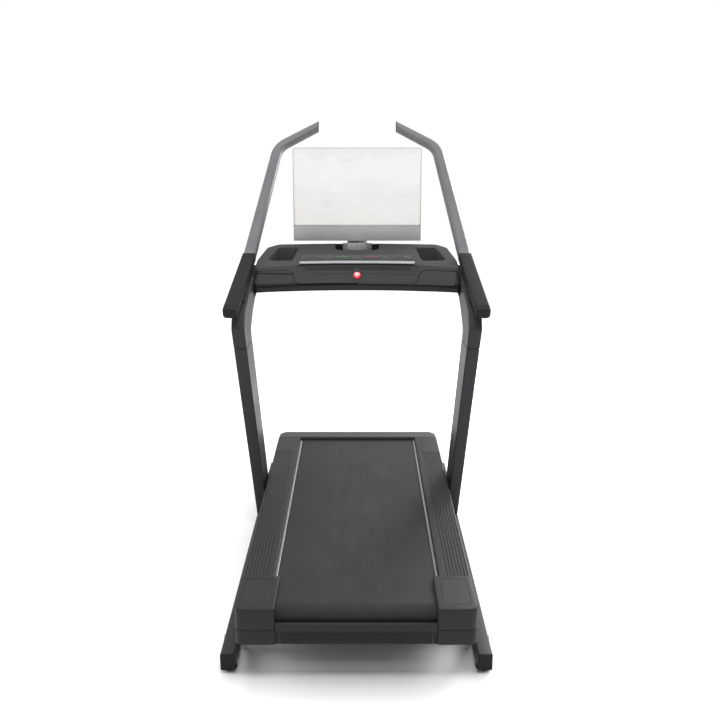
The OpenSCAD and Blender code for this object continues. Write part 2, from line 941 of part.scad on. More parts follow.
base_rail_left();
base_rail_right();
base_cross_members();
rail_end_caps();
front_feet();
rear_foot_left();
rear_foot_right();
transport_wheel_left();
transport_wheel_right();
upright_left();
upright_right();
arm_left();
arm_right();
frame_bolts();
console_base();
console_top();
console_fascia();
storage_trays();
key_panel();
tablet_rest();
console_board();
handlebar_left();
handlebar_right();
handle_grips();
handlebar_caps();
power_inlet();
power_switch();
lift_motor();
lift_rod();
lift_frame();
lift_rollers();
screen_post();
screen_back();
screen_glass();
screen_bar();
start_key();
stop_key();
speed_key();
incline_key();
safety_key();
deck_rail_left();
deck_rail_right();
deck_cross_members();
walking_board();
deck_cushions();
foot_rail_left();
foot_rail_right();
belt_edge_strips();
rear_cap_left();
rear_cap_right();
rear_apron();
front_cover();
walking_belt();
drive_motor();
motor_pulley();
drive_belt();
motor_pan();
tension_bolts();
front_roller();
rear_roller();
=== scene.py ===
"""Looks of the incline treadmill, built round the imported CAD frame.

Lengths here are millimetres in the CAD's own frame, and add_mesh turns them into Blender's metres.
+Z is up, +Y points from the rear of the deck to the front, +X is the runner's right.
"""
import math

import bmesh
import bpy
from mathutils import Matrix, Vector


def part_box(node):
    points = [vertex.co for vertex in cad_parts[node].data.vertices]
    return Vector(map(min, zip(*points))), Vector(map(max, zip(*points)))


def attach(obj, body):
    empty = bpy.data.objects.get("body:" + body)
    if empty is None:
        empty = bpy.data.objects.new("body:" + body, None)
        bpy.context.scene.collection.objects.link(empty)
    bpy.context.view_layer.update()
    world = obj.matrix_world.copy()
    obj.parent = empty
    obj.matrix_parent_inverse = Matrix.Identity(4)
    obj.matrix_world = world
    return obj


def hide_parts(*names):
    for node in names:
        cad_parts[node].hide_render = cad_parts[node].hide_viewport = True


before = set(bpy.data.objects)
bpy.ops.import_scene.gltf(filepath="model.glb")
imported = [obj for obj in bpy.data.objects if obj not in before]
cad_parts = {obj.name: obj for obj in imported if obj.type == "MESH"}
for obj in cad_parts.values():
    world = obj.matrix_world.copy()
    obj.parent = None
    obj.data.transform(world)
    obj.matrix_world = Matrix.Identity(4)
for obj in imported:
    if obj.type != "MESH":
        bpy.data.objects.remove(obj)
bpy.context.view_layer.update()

MM = 0.001
scene = bpy.context.scene


def node_box(name):
    """A CAD node's lowest and highest corner, in millimetres."""
    lo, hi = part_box(name)
    return Vector(lo) / MM, Vector(hi) / MM


# ---- sizes read from the frame ----

rail_lo, rail_hi = node_box("base_rail_right")
strip_lo, strip_hi = node_box("belt_edge_strips")
foot_lo, foot_hi = node_box("foot_rail_right")
cap_lo, cap_hi = node_box("rear_cap_right")
cover_lo, cover_hi = node_box("front_cover")
apron_lo = node_box("rear_apron")[0]
belt_hi = node_box("walking_belt")[1]

REAR_FOOT_Y = -800

# console: slope of its top, and the curved front that leans back
TOP_Y, TOP_Z = 110.0, 1287.0
SLOPE = math.radians(10)
ARC_Y = -1442.0
FACE_FOOT = Vector((58.0, 1208.0))
FACE_TOP = Vector((106.0, 1284.0))
FACE_UP = (FACE_TOP - FACE_FOOT).normalized()
FACE_IN = Vector((FACE_UP.y, -FACE_UP.x))
SEAM_Z = 1264.0
DIP_Z = 1214.7
SHELL_FOOT_Z = 1213.7
PLATE = 5.5

# screen: tilted about its lower front edge
SCREEN_AT = Vector((0, 418.5, 1340))
TILT = math.radians(5.1)
SCREEN_W, SCREEN_H, SCREEN_T, BAR_H = 567.0, 405.0, 34.0, 68.0
HINGE = Vector((0, 490, 1420))

# handlebar centre line on the right
BAR_REAR = Vector((465, -350, 1168))
BAR_BEND = Vector((448, 160, 1312))
BAR_ELBOW = Vector((361, 604, 1739))
BAR_TIP = Vector((179, 714, 1836))


# ---- camera ----

def make_camera():
    data = bpy.data.cameras.new("camera")
    data.lens = 43.455
    data.sensor_width = 36
    camera = bpy.data.objects.new("camera", data)
    camera.location = (0.0124, -3.4705, 1.827)
    camera.rotation_euler = (math.radians(75.05), 0, 0)
    scene.collection.objects.link(camera)
    scene.camera = camera


make_camera()


# ---- outlines ----

def turned(v, angle):
    c, s = math.cos(angle), math.sin(angle)
    return Vector((v.x * c - v.y * s, v.x * s + v.y * c))


def rounded(points, radii, steps=6):
    """A closed outline with an arc at each corner whose radius is above 0."""
    out = []
    count = len(points)
    for i, r in enumerate(radii):
        p = Vector(points[i])
        a = (Vector(points[i - 1]) - p).normalized()
        b = (Vector(points[(i + 1) % count]) - p).normalized()
        if r <= 0:
            out.append(p)
            continue
        half = a.angle(b) / 2
        centre = p + (a + b).normalized() * r / math.sin(half)
        spoke = p + a * r / math.tan(half) - centre
        sweep = (math.pi - 2 * half) * (-1 if a.cross(b) > 0 else 1)
        out += [centre + turned(spoke, sweep * k / steps) for k in range(steps + 1)]
    return out


def rectangle(x0, y0, x1, y1, r=0.0, steps=6):
    """Its corners, from the lower left one on, have the radius r, or the four radii in the list r."""
    return rounded([(x0, y0), (x1, y0), (x1, y1), (x0, y1)], r if isinstance(r, list) else [r] * 4, steps)


def oval(x, y, rx, ry, count=32):
    angles = [math.tau * k / count for k in range(count)]
    return [Vector((x + rx * math.cos(a), y + ry * math.sin(a))) for a in angles]


def curve(a, b, c, steps):
    """Points of a curve that leaves a towards b and reaches c from b."""
    ts = [k / steps for k in range(steps + 1)]
    return [a * (1 - t) ** 2 + b * 2 * t * (1 - t) + c * t ** 2 for t in ts]


def normals_in(outline):
    """The inward mitre vector at each point of a counter-clockwise outline."""
    out = []
    count = len(outline)
    for i, p in enumerate(outline):
        e0 = (p - outline[i - 1]).normalized()
        e1 = (outline[(i + 1) % count] - p).normalized()
        n0, n1 = Vector((-e0.y, e0.x)), Vector((-e1.y, e1.x))
        out.append((n0 + n1) / max(1 + n0.dot(n1), 0.2))
    return out


def inset(outline, d):
    return [p + n * d for p, n in zip(outline, normals_in(outline))]


# ---- meshes ----

def add_mesh(name, verts, faces, smooth=40.0):
    """A mesh object from points in millimetres, with outward normals and sharp edges above an angle."""
    bm = bmesh.new()
    made = [bm.verts.new(Vector(v)) for v in verts]
    for face in faces:
        bm.faces.new([made[i] for i in face])
    return from_bmesh(name, bm, smooth)


def from_bmesh(name, bm, smooth=40.0):
    bmesh.ops.remove_doubles(bm, verts=bm.verts, dist=0.01)
    bmesh.ops.dissolve_degenerate(bm, edges=bm.edges, dist=0.005)
    bmesh.ops.recalc_face_normals(bm, faces=bm.faces)
    bmesh.ops.scale(bm, vec=(MM, MM, MM), verts=bm.verts)
    mesh = bpy.data.meshes.new(name)
    bm.to_mesh(mesh)
    bm.free()
    mesh.shade_smooth()
    mesh.set_sharp_from_angle(angle=math.radians(smooth))
    obj = bpy.data.objects.new(name, mesh)
    scene.collection.objects.link(obj)
    return obj


def raised(p, h, axis):
    if axis == "x":
        return (h, p[0], p[1])
    if axis == "y":
        return (p[0], h, p[1])
    return (p[0], p[1], h)


def columns(name, cols, caps=True, smooth=40.0):
    """A skin round equal columns of points. Caps are faces over their first and last points."""
    deep = len(cols[0])
    verts = [p for col in cols for p in col]
    faces = []
    for i in range(len(cols)):
        a, b = i * deep, (i + 1) % len(cols) * deep
        faces += [(a + k, b + k, b + k + 1, a + k + 1) for k in range(deep - 1)]
    if caps:
        faces.append([i * deep for i in range(len(cols))])
        faces.append([i * deep + deep - 1 for i in range(len(cols))])
    return add_mesh(name, verts, faces, smooth)


def layered(name, layers, axis, ring=False, smooth=40.0):
    """A skin through equal outlines, each at a height along axis. A ring joins the last to the first."""
    loops = layers + layers[:1] if ring else layers
    cols = [[raised(outline[i], h, axis) for outline, h in loops] for i in range(len(loops[0][0]))]
    return columns(name, cols, not ring, smooth)


def prism(name, outline, axis, lo, hi):
    return layered(name, [(outline, lo), (outline, hi)], axis)


def lathe(name, profile, centre, axis, count=48, smooth=40.0, caps=True):
    """A turned solid: profile holds (radius, height) pairs."""
    cols = []
    for spoke in oval(0, 0, 1, 1, count):
        cols.append([Vector(raised(spoke * r, h, axis)) + Vector(centre) for r, h in profile])
    return columns(name, cols, caps, smooth)


def sweep(name, path, sections, smooth, end_x=None):
    """Sections, one outline for each point of the path, swept with no twist. end_x cuts the end upright."""
    rings = []
    side = None
    for i, p in enumerate(path):
        ahead = (path[min(i + 1, len(path) - 1)] - path[max(i - 1, 0)]).normalized()
        if side is None:
            side = ahead.cross(Vector((0, 0, 1))).normalized()
        side = (side - ahead * side.dot(ahead)).normalized()
        over = side.cross(ahead)
        ring = [p + side * q[0] + over * q[1] for q in sections[i]]
        if end_x is not None and i == len(path) - 1:
            ring = [q + ahead * (end_x - q.x) / ahead.x for q in ring]
        rings.append(ring)
    return columns(name, list(zip(*rings)), smooth=smooth)


def slab(outline, near, far):
    """A bmesh plate on an outline in x and y, from the height near to far."""
    bm = bmesh.new()
    face = bm.faces.new([bm.verts.new((p[0], p[1], near)) for p in outline])
    made = bmesh.ops.extrude_face_region(bm, geom=[face])
    moved = [v for v in made["geom"] if isinstance(v, bmesh.types.BMVert)]
    bmesh.ops.translate(bm, vec=(0, 0, far - near), verts=moved)
    bmesh.ops.recalc_face_normals(bm, faces=bm.faces)
    return bm


def eased_edges(bm, edges, width, segments, clamp=True):
    bmesh.ops.bevel(bm, geom=edges, offset=width, segments=segments, profile=0.5, affect="EDGES",
                    clamp_overlap=clamp)


def bevelled(obj, width, segments=3, angle=35.0):
    """Rounds the edges that are sharper than angle."""
    mod = obj.modifiers.new("bevel", "BEVEL")
    mod.width = width * MM
    mod.segments = segments
    mod.limit_method = "ANGLE"
    mod.angle_limit = math.radians(angle)
    mod.harden_normals = True
    return obj


def cut(obj, *cutters):
    """Takes the cutters' space out of obj for good, and removes them."""
    for cutter in cutters:
        mod = obj.modifiers.new("cut", "BOOLEAN")
        mod.operation = "DIFFERENCE"
        mod.solver = "EXACT"
        mod.object = cutter
    fixed(obj)
    for cutter in cutters:
        bpy.data.objects.remove(cutter)
    return obj


def fixed(obj):
    """Applies the object's modifiers."""
    depsgraph = bpy.context.evaluated_depsgraph_get()
    mesh = bpy.data.meshes.new_from_object(obj.evaluated_get(depsgraph))
    obj.modifiers.clear()
    obj.data = mesh
    mesh.set_sharp_from_angle(angle=math.radians(40))
    return obj


def mirrored(obj, name):
    """A copy of obj on the other side of the machine."""
    copy = obj.copy()
    copy.name = name
    copy.data = obj.data.copy()
    copy.data.name = name
    copy.data.transform(Matrix.Scale(-1, 4, (1, 0, 0)))
    copy.data.flip_normals()
    scene.collection.objects.link(copy)
    return copy


def paired(*parts):
    """The parts and their mirror images."""
    return [*parts, *(mirrored(part, part.name + "_copy") for part in parts)]


def moved(obj, matrix):
    obj.data.transform(matrix)
    return obj


def joined(name, parts):
    """One object made of the parts, with their modifiers applied."""
    bm = bmesh.new()
    for part in parts:
        if part.modifiers:
            fixed(part)
        bm.from_mesh(part.data)
    mesh = bpy.data.meshes.new(name)
    bm.to_mesh(mesh)
    bm.free()
    for part in parts:
        bpy.data.objects.remove(part)
    obj = bpy.data.objects.new(name, mesh)
    scene.collection.objects.link(obj)
    return obj


# ---- materials ----

class Finish:
    """Node helper for one procedural material. Texture sizes are in millimetres on the object."""

    def __init__(self, name, color, rough, metal=0.0, specular=0.5):
        self.mat = bpy.data.materials.new(name)
        self.mat.use_nodes = True
        self.nodes = self.mat.node_tree.nodes
        self.links = self.mat.node_tree.links
        self.shader = self.nodes["Principled BSDF"]
        self.coord = self.nodes.new("ShaderNodeTexCoord").outputs["Object"]
        self.color, self.rough = color, rough
        self.fill(self.shader, Base_Color=(*color, 1), Roughness=rough, Metallic=metal,
                  Specular_IOR_Level=specular)

    def tint(self, factor, lift=0.0):
        """The finish's own colour, made lighter or darker."""
        return tuple(min(1, c * factor + lift) for c in self.color)

    def fill(self, node, **values):
        """Sets a node's input sockets, whose names have _ for a space. A value may be another socket."""
        for key, value in values.items():
            socket = node.inputs[key.replace("_", " ")]
            if isinstance(value, bpy.types.NodeSocket):
                self.links.new(value, socket)
            else:
                socket.default_value = value

    def node(self, kind, settings, output=0, **values):
        made = self.nodes.new("ShaderNode" + kind)
        for key, value in settings.items():
            setattr(made, key, value)
        self.fill(made, **values)
        return made.outputs[output]

    def scaled(self, size):
        """Object coordinates with one unit to size millimetres, or to a size for each axis."""
        sizes = size if isinstance(size, tuple) else (size,) * 3
        return self.node("Mapping", {}, Scale=[1 / (s * MM) for s in sizes], Vector=self.coord)

    def noise(self, size, detail=3.0, roughness=0.55):
        return self.node("TexNoise", {}, "Fac", Scale=1, Detail=detail, Roughness=roughness,
                         Vector=self.scaled(size))

    def cells(self, size):
        return self.node("TexVoronoi", {}, "Distance", Scale=1, Vector=self.scaled(size))

    def waves(self, size, direction, distortion=0.0):
        """Bands about size millimetres apart."""
        return self.node("TexWave", {"bands_direction": direction}, "Fac", Scale=0.31831,
                         Distortion=distortion, Vector=self.scaled(size))

    def axis(self, letter):
        return self.node("SeparateXYZ", {}, letter, Vector=self.coord)

    def span(self, value, from_lo, from_hi, to_lo, to_hi):
        return self.node("MapRange", {}, "Result", Value=value, From_Min=from_lo, From_Max=from_hi,
                         To_Min=to_lo, To_Max=to_hi)

    def even(self, value, lo, hi):
        """A noise's usual reach, spread from lo to hi."""
        return self.span(value, 0.3, 0.7, lo, hi)

    def maths(self, operation, a, b):
        made = self.nodes.new("ShaderNodeMath")
        made.operation = operation
        for socket, value in zip(made.inputs, (a, b)):
            if isinstance(value, (int, float)):
                socket.default_value = value
            else:
                self.links.new(value, socket)
        return made.outputs[0]

    def times(self, a, b):
        return self.maths("MULTIPLY", a, b)

    def mixed(self, fac, a, b):
        """Colour a where fac is 0 and b where it is 1. Each is a colour or a socket."""
        made = self.nodes.new("ShaderNodeMix")
        made.data_type = "RGBA"
        self.links.new(fac, made.inputs["Factor"])
        for socket, value in ((made.inputs[6], a), (made.inputs[7], b)):
            if isinstance(value, tuple):
                socket.default_value = (*value, 1)
            else:
                self.links.new(value, socket)
        return made.outputs[2]

    def done(self, color, rough, *bumps, **sockets):
        """Fills the shader and returns the material. Bumps are (height, depth in millimetres) layers."""
        normals = {}
        for height, depth in bumps:
            normal = self.node("Bump", {}, Distance=depth * MM, Strength=1.0, Height=height, **normals)
            normals = {"Normal": normal}
        self.fill(self.shader, Base_Color=color, Roughness=rough, **normals, **sockets)
        return self.mat

    def worn(self, patch=180.0, spread=0.12, scuff=0.25, gloss=0.10):
        """Broad patches of tone, fine rubbed streaks, and roughness that follows both."""
        tone = self.even(self.noise(patch, 4.0), 0, 1)
        streak = self.times(self.span(self.noise((9, 46, 9), 5.0, 0.7), 0.60, 0.78, 0, 1),
                            self.span(self.noise(140, 2.0), 0.45, 0.65, 0, 1))
        base = self.mixed(tone, self.tint(1 - spread), self.tint(1 + spread))
        base = self.mixed(self.times(streak, scuff), base, self.tint(1.5, 0.02))
        rough = self.span(tone, 0, 1, self.rough - gloss / 2, self.rough + gloss / 2)
        return base, self.maths("ADD", rough, self.times(streak, -0.6 * gloss))


def moulded(name, color, rough, grain=0.9, depth=0.05, specular=0.16):
    """Injection moulded plastic with a spark-eroded grain."""
    f = Finish(name, color, rough, specular=specular)
    base, gloss = f.worn()
    pits = f.cells(grain)
    return f.done(f.mixed(f.span(pits, 0.1, 0.8, 0, 0.28), base, f.tint(0.6)), gloss,
                  (f.noise(60, 2.0), 0.25), (pits, depth))


def powder_coat(name, color, rough, specular=0.22):
    """Powder coated steel: orange peel, small flecks and rubbed patches."""
    f = Finish(name, color, rough, specular=specular)
    base, gloss = f.worn(spread=0.10, scuff=0.22, gloss=0.12)
    fleck = f.span(f.noise(0.8, 1.0), 0.62, 0.74, 0, 0.5)
    return f.done(f.mixed(fleck, base, f.tint(1.7, 0.01)), gloss,
                  (f.noise(3.2, 2.0), 0.10), (f.noise(0.9, 1.0), 0.02))


def rubber(name, color, rough, pattern, depth=0.35):
    """Soft rubber with small raised dots, dulled where it is handled."""
    f = Finish(name, color, rough, specular=0.12)
    base, gloss = f.worn(patch=90, spread=0.16, scuff=0.12)
    dots = f.span(f.cells(pattern), 0.12, 0.42, 1, 0)
    return f.done(f.mixed(f.times(dots, 0.25), base, f.tint(1.6)), gloss,
                  (f.noise(25, 2.0), 0.2), (dots, depth))


def brushed(name, color, rough, along=(40.0, 0.5, 0.5), metal=1.0):
    """Metal with a fine brushed grain that runs along the longest of the three sizes."""
    f = Finish(name, color, rough, metal)
    lines = f.noise(along, 4.0, 0.6)
    gloss = f.maths("ADD", f.even(lines, rough - 0.06, rough + 0.08), f.even(f.noise(90, 3.0), -0.05, 0.05))
    return f.done(f.mixed(f.even(lines, 0, 1), f.tint(0.88), f.tint(1.08)), gloss, (lines, 0.03))


def zinc(name, color, rough):
    """Zinc plated steel with its cloudy spangle."""
    f = Finish(name, color, rough, 1.0)
    cloud = f.span(f.cells(5.0), 0.1, 0.7, 0, 1)
    return f.done(f.mixed(cloud, f.tint(0.85), f.tint(1.12)),
                  f.even(f.noise(14, 4.0), rough - 0.1, rough + 0.12), (f.noise(1.4, 3.0), 0.03))


def belt_weave(name, color, rough):
    """Running belt: a fine lozenge emboss, dulled along the middle where feet land."""
    f = Finish(name, color, rough, specular=0.12)
    emboss = f.times(f.waves(2.6, "X"), f.waves(2.6, "Y"))
    lane = f.span(f.maths("ABSOLUTE", f.axis("X"), 0), 0.10, 0.24, 1, 0)
    tread = f.times(lane, f.span(f.noise((50, 210, 50), 4.0), 0.35, 0.7, 0, 1))
    base = f.mixed(f.even(f.noise(120, 4.0), 0, 1), f.tint(0.93), f.tint(1.07))
    base = f.mixed(f.times(tread, 0.16), base, f.tint(1.7))
    base = f.mixed(f.times(emboss, 0.22), base, f.tint(1.5))
    return f.done(base, f.span(tread, 0, 1, rough + 0.04, rough - 0.08),
                  (f.noise(30, 2.0), 0.15), (emboss, 0.16))


def pressed_board(name, color, rough):
    """Waxed fibre board: pressed fibres and darker flecks."""
    f = Finish(name, color, rough)
    fibres = f.noise((1.6, 14, 1.6), 5.0, 0.7)
    flecks = f.span(f.cells(4.0), 0.05, 0.2, 1, 0)
    base = f.mixed(f.times(flecks, 0.5), f.mixed(fibres, f.tint(0.7), f.tint(1.3)), f.tint(0.4))
    return f.done(base, f.even(fibres, rough - 0.08, rough + 0.08), (fibres, 0.08))


def circuit(name, color, rough):
    """Solder mask with faint copper tracks under it."""
    f = Finish(name, color, rough)
    tracks = f.span(f.waves(7, "DIAGONAL", 3.0), 0.45, 0.55, 0, 1)
    return f.done(f.mixed(tracks, color, f.tint(1.6)),
                  f.even(f.noise(20), rough - 0.07, rough + 0.07), (tracks, 0.04))


def glossy(name, color, rough):
    """Glossy moulded plastic with faint handling haze."""
    f = Finish(name, color, rough)
    haze = f.noise(18, 4.0)
    return f.done(f.mixed(f.span(haze, 0.35, 0.7, 0, 1), f.tint(0.94), color),
                  f.span(haze, 0.3, 0.75, rough - 0.05, rough + 0.12), (f.noise(6, 2.0), 0.03),
                  Coat_Weight=0.4)


def lit_picture(name, color, rough):
    """The screen: a washed-out landscape of bands and soft clouds under thin glass, no writing."""
    f = Finish(name, color, rough)
    hills = f.maths("ADD", f.axis("Z"), f.even(f.noise((120, 120, 60), 4.0), -0.035, 0.035))
    ramp = f.nodes.new("ShaderNodeValToRGB")
    f.links.new(f.span(hills, 1.41, 1.74, 0, 1), ramp.inputs[0])
    bands = ramp.color_ramp.elements
    bands[0].color = (0.86, 0.85, 0.82, 1)
    bands[1].color = (0.80, 0.81, 0.82, 1)
    for place, *tint in ((0.28, 0.85, 0.84, 0.82), (0.36, 0.81, 0.81, 0.81), (0.52, 0.83, 0.84, 0.85),
                         (0.60, 0.86, 0.86, 0.86), (0.86, 0.85, 0.85, 0.86), (0.90, 0.79, 0.80, 0.82)):
        bands.new(place).color = (*tint, 1)
    cloud = f.span(f.noise((70, 70, 34), 5.0), 0.5, 0.75, 0, 0.4)
    picture = f.mixed(cloud, ramp.outputs[0], (0.91, 0.91, 0.91))
    unlit = f.mixed(f.even(f.noise(200), 0.60, 0.66), picture, (0, 0, 0))
    return f.done(unlit, f.even(f.noise(40, 3.0), rough - 0.04, rough + 0.06), (f.noise(90, 1.0), 0.05),
                  Emission_Strength=0.63, Emission_Color=picture)


LOOKS = (
    ("frame_paint", powder_coat, (0.034, 0.035, 0.037), 0.45, 0.12),
    ("dark_steel", powder_coat, (0.022, 0.022, 0.024), 0.42),
    ("black_plastic", moulded, (0.012, 0.012, 0.013), 0.55),
    ("rubber_black", rubber, (0.016, 0.016, 0.016), 0.8, 3.0),
    ("bolt_steel", zinc, (0.42, 0.43, 0.44), 0.34),
    ("console_plastic", moulded, (0.052, 0.053, 0.055), 0.55, 0.9, 0.05, 0.06),
    ("panel_plastic", moulded, (0.040, 0.041, 0.043), 0.42, 0.7, 0.03),
    ("start_key", glossy, (0.02, 0.42, 0.06), 0.3),
    ("stop_key", glossy, (0.62, 0.03, 0.03), 0.3),
    ("safety_red", glossy, (0.72, 0.012, 0.022), 0.16),
    ("silver_trim", brushed, (0.29, 0.295, 0.30), 0.45),
    ("board_green", circuit, (0.02, 0.14, 0.05), 0.35),
    # painted sheen: the handlebar tubes' colour is lifted well above the dark tube's own tone to stand in
    # for their broad reflection
    ("handle_metal", powder_coat, (0.150, 0.152, 0.156), 0.42, 0.12),
    ("grip_rubber", rubber, (0.014, 0.0145, 0.0155), 0.70, 1.7, 0.22),
    ("mast_silver", brushed, (0.30, 0.305, 0.315), 0.55, (0.5, 0.5, 30.0), 0.40),
    ("screen_grey", moulded, (0.42, 0.425, 0.43), 0.42, 0.6, 0.02),
    ("screen_shell", moulded, (0.17, 0.172, 0.176), 0.50, 0.6, 0.02, 0.10),
    ("screen_face", lit_picture, (0.8, 0.8, 0.8), 0.14),
    ("walking_board", pressed_board, (0.10, 0.075, 0.052), 0.5),
    ("deck_plastic", moulded, (0.0195, 0.0200, 0.0210), 0.52, 1.0, 0.06),
    ("cover_plastic", moulded, (0.046, 0.047, 0.049), 0.48, 1.0, 0.05),
    ("belt_rubber", belt_weave, (0.0235, 0.0235, 0.0240), 0.62),
    ("white_mark", glossy, (0.85, 0.85, 0.85), 0.3),
)
MATERIALS = {name: maker(name, *values) for name, maker, *values in LOOKS}


def dress(obj, body, slot, replaces=(), look=None):
    """Gives a piece its body and its material, which is the look or else the slot's, and hides the CAD nodes
    that it stands for.
    """
    obj.data.materials.clear()
    obj.data.materials.append(MATERIALS[look or slot])
    for polygon in obj.data.polygons:
        polygon.material_index = 0
    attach(obj, body)
    if replaces:
        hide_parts(*replaces)


def keep(node, slot, width, segments):
    """A CAD node that stays: its edges are broken and its slots get the better material."""
    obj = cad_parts[node]
    if not obj.material_slots:
        obj.data.materials.append(None)
    for part in obj.material_slots:
        part.material = MATERIALS[slot]
    weld = obj.modifiers.new("weld", "WELD")
    weld.merge_threshold = 0.00002
    bevelled(obj, width, segments, 38)


def both(name, right, body, slot, node=""):
    """A right-hand piece and its mirror. A body or node that ends in _ gets the side's name."""
    left = mirrored(right, name + "_left")
    right.name = right.data.name = name + "_right"
    for side, piece in (("right", right), ("left", left)):
        dress(piece, body + side if body.endswith("_") else body, slot, [node + side] if node else ())


# ---- floor frame ----

def socket_bolt(name, centre, axis, radius, height, sign=1):
    """A button-head bolt: domed head with a hexagon socket. Sign -1 turns its head round."""
    profile = [(radius, 0)]
    for k in range(6):
        rise = math.sin(math.pi / 2 * k / 5)
        profile.append((radius - radius * 0.34 * rise ** 2, height * (0.35 + 0.65 * rise) * sign))
    head = lathe(name, profile, centre, axis, 36)
    hexagon = oval(0, 0, radius * 0.5, radius * 0.5, 6)
    socket = prism("socket", hexagon, axis, height * 0.45 * sign, height * 1.5 * sign)
    return cut(head, moved(socket, Matrix.Translation(Vector(centre) * MM)))


def floor_rails():
    tube = rectangle(rail_lo.x, rail_lo.z, rail_hi.x, rail_hi.z, 5)
    hollow = rectangle(rail_lo.x + 7, rail_lo.z + 7, rail_hi.x - 7, rail_hi.z - 7, 2)
    rail = prism("floor_rail", tube, "y", rail_lo.y, rail_hi.y)
    both("floor_rail", bevelled(rail, 0.8, 2, 60), "base", "frame_paint", "base_rail_")
    plugs = []
    for end, y in ((-1, rail_lo.y), (1, rail_hi.y)):
        plug = fixed(bevelled(prism("plug", tube, "y", y + 6 * end, y + 0.4 * end), 1.6, 3, 60))
        plugs += paired(cut(plug, prism("dish", hollow, "y", y + 5.2 * end, y + 15 * end)))
    dress(bevelled(joined("rail_plugs", plugs), 0.5, 2), "base", "black_plastic", ["rail_end_caps"])


def feet():
    front_lo, front_hi = node_box("front_feet")
    x = (rail_lo.x + rail_hi.x) / 2
    y = (front_lo.y + front_hi.y) / 2
    pad = [(20, 0), (23, 0.6), (24, 2), (24, 5), (22.6, 5.8), (22.6, 6.8), (24, 7.6), (24, 10.4),
           (22, 12), (17, 13), (17, 15)]
    fixed_feet = paired(lathe("front_foot", pad, (x, y, 0), "z", 40))
    dress(joined("front_feet_rubber", fixed_feet), "base", "rubber_black", ["front_feet"])
    turned_foot = [(23, 0), (26, 0.7), (27, 2.4), (27, 6.4), (25.6, 7.2), (25.6, 8.0), (26.6, 8.6),
                   (24, 11), (18.4, 14.2), (9, 14.4), (9, 14.5), (6, 14.8), (6, 36.5), (4.6, 38)]
    foot = lathe("levelling_foot", turned_foot, (x, REAR_FOOT_Y, 0), "z")
    both("levelling_foot", foot, "rear_foot_", "rubber_black", "rear_foot_")


def wheels():
    lo, hi = node_box("transport_wheel_right")
    half, tread = (hi.x - lo.x) / 2, (hi.z - lo.z) / 2
    near = [(5.2, -half), (9, -half), (9, -half + 3), (23, -half + 3), (25, -half), (29, -half),
            (tread - 1.6, -half + 0.8), (tread, -half + 3), (tread - 0.8, -1.2)]
    rim = near + [(tread - 1.8, 0)] + [(r, -h) for r, h in reversed(near)]
    for side, sign in (("right", 1), ("left", -1)):
        centre = (sign * (lo.x + hi.x) / 2, (lo.y + hi.y) / 2, (lo.z + hi.z) / 2)
        wheel = lathe("wheel_" + side + "_tyre", rim + rim[:1], centre, "x", caps=False)
        dress(wheel, "wheel_" + side, "black_plastic", ["transport_wheel_" + side])


def upright_pieces():
    lean = math.radians(29.8)
    slab_y = 150 / math.cos(lean)
    joint_z = 1011.0

    def rear_y(z):
        return 282.5 - (z - 77) * math.tan(lean)

    foot_z, top_z = 77.2, joint_z - 0.6
    post = [(rear_y(foot_z), foot_z), (rear_y(foot_z) + slab_y, foot_z), (rear_y(top_z) + slab_y, top_z),
            (rear_y(top_z), top_z)]
    arm = [(rear_y(joint_z), joint_z + 0.6), (rear_y(joint_z) + slab_y, joint_z + 0.6), (-107, 1055),
           (-11, 1118), (64, 1149), (150, 1160), (150, 1276), (119, 1268), (-94, 1210), (-268, 1158),
           (-303, 1098)]
    bend = rounded(arm, [0, 0, 30, 60, 40, 12, 8, 0, 0, 22, 26], 10)
    for name, outline, smooth, node in (("upright_tube", post, 40, "upright_"),
                                        ("arm_casting", bend, 30, "arm_")):
        right = layered(name, [(outline, 420), (outline, 470)], "x", smooth=smooth)
        both(name, bevelled(right, 4.0, 4, 50), "base", "frame_paint", node)


def handle_stands():
    """Two short feet that hold each handlebar off its arm."""
    slant = BAR_BEND - BAR_REAR
    rise = slant.z / slant.y
    parts = []
    for y in (-185, 75):
        cols = []
        for p in rectangle(-13, -15, 13, 15, 6):
            top = BAR_REAR.z + (y + p.y - BAR_REAR.y) * rise - 20.3
            cols.append([(445 + p.x * 1.25, y + p.y * 1.2, top - 22), (445 + p.x, y + p.y, top - 8),
                         (445 + p.x, y + p.y, top)])
        parts.append(columns("stand", cols))
    dress(joined("handle_stands", paired(*parts)), "base", "black_plastic")


def bolts():
    pivot_y, pivot_z = -694.5, 48
    axle = sum(node_box("transport_wheel_right"), Vector()) / 2
    parts = [socket_bolt("bolt", (470.1, pivot_y, pivot_z), "x", 12.5, 8),
             lathe("pin", [(9.2, 0), (10, 0.8), (10, 76.2), (9.2, 77)], (393, pivot_y, pivot_z), "x", 32),
             socket_bolt("axle_head", (397.7, axle.y, axle.z), "x", 9, 4.7, -1),
             lathe("axle", [(5, 0), (5, 33)], (398, axle.y, axle.z), "x", 24)]
    parts += [socket_bolt("bracket_bolt", (405, y, 27), "z", 8, 8) for y in (330, 400)]
    dress(joined("frame_fasteners", paired(*parts)), "base", "bolt_steel", ["frame_bolts"])


floor_rails()
feet()
wheels()
upright_pieces()
handle_stands()
bolts()


# ---- console ----

def plane_z(y):
    """Height of the console's top face."""
    return TOP_Z + (y - TOP_Y) * math.tan(SLOPE)


def swept(x, y, z):
    """A point of the front's cross-section, carried round the console's arc to x."""
    r = y - ARC_Y
    return Vector((x, ARC_Y + math.sqrt(r * r - x * x), z))


def on_face(x, s, depth):
    """A point on the console's front: s is up the face from its foot, depth is inwards."""
    q = FACE_FOOT + FACE_UP * s + FACE_IN * depth
    return swept(x, q.x, q.y)


def up_face(z):
    """Distance up the face of a height."""
    return (z - FACE_FOOT.y) / FACE_UP.y


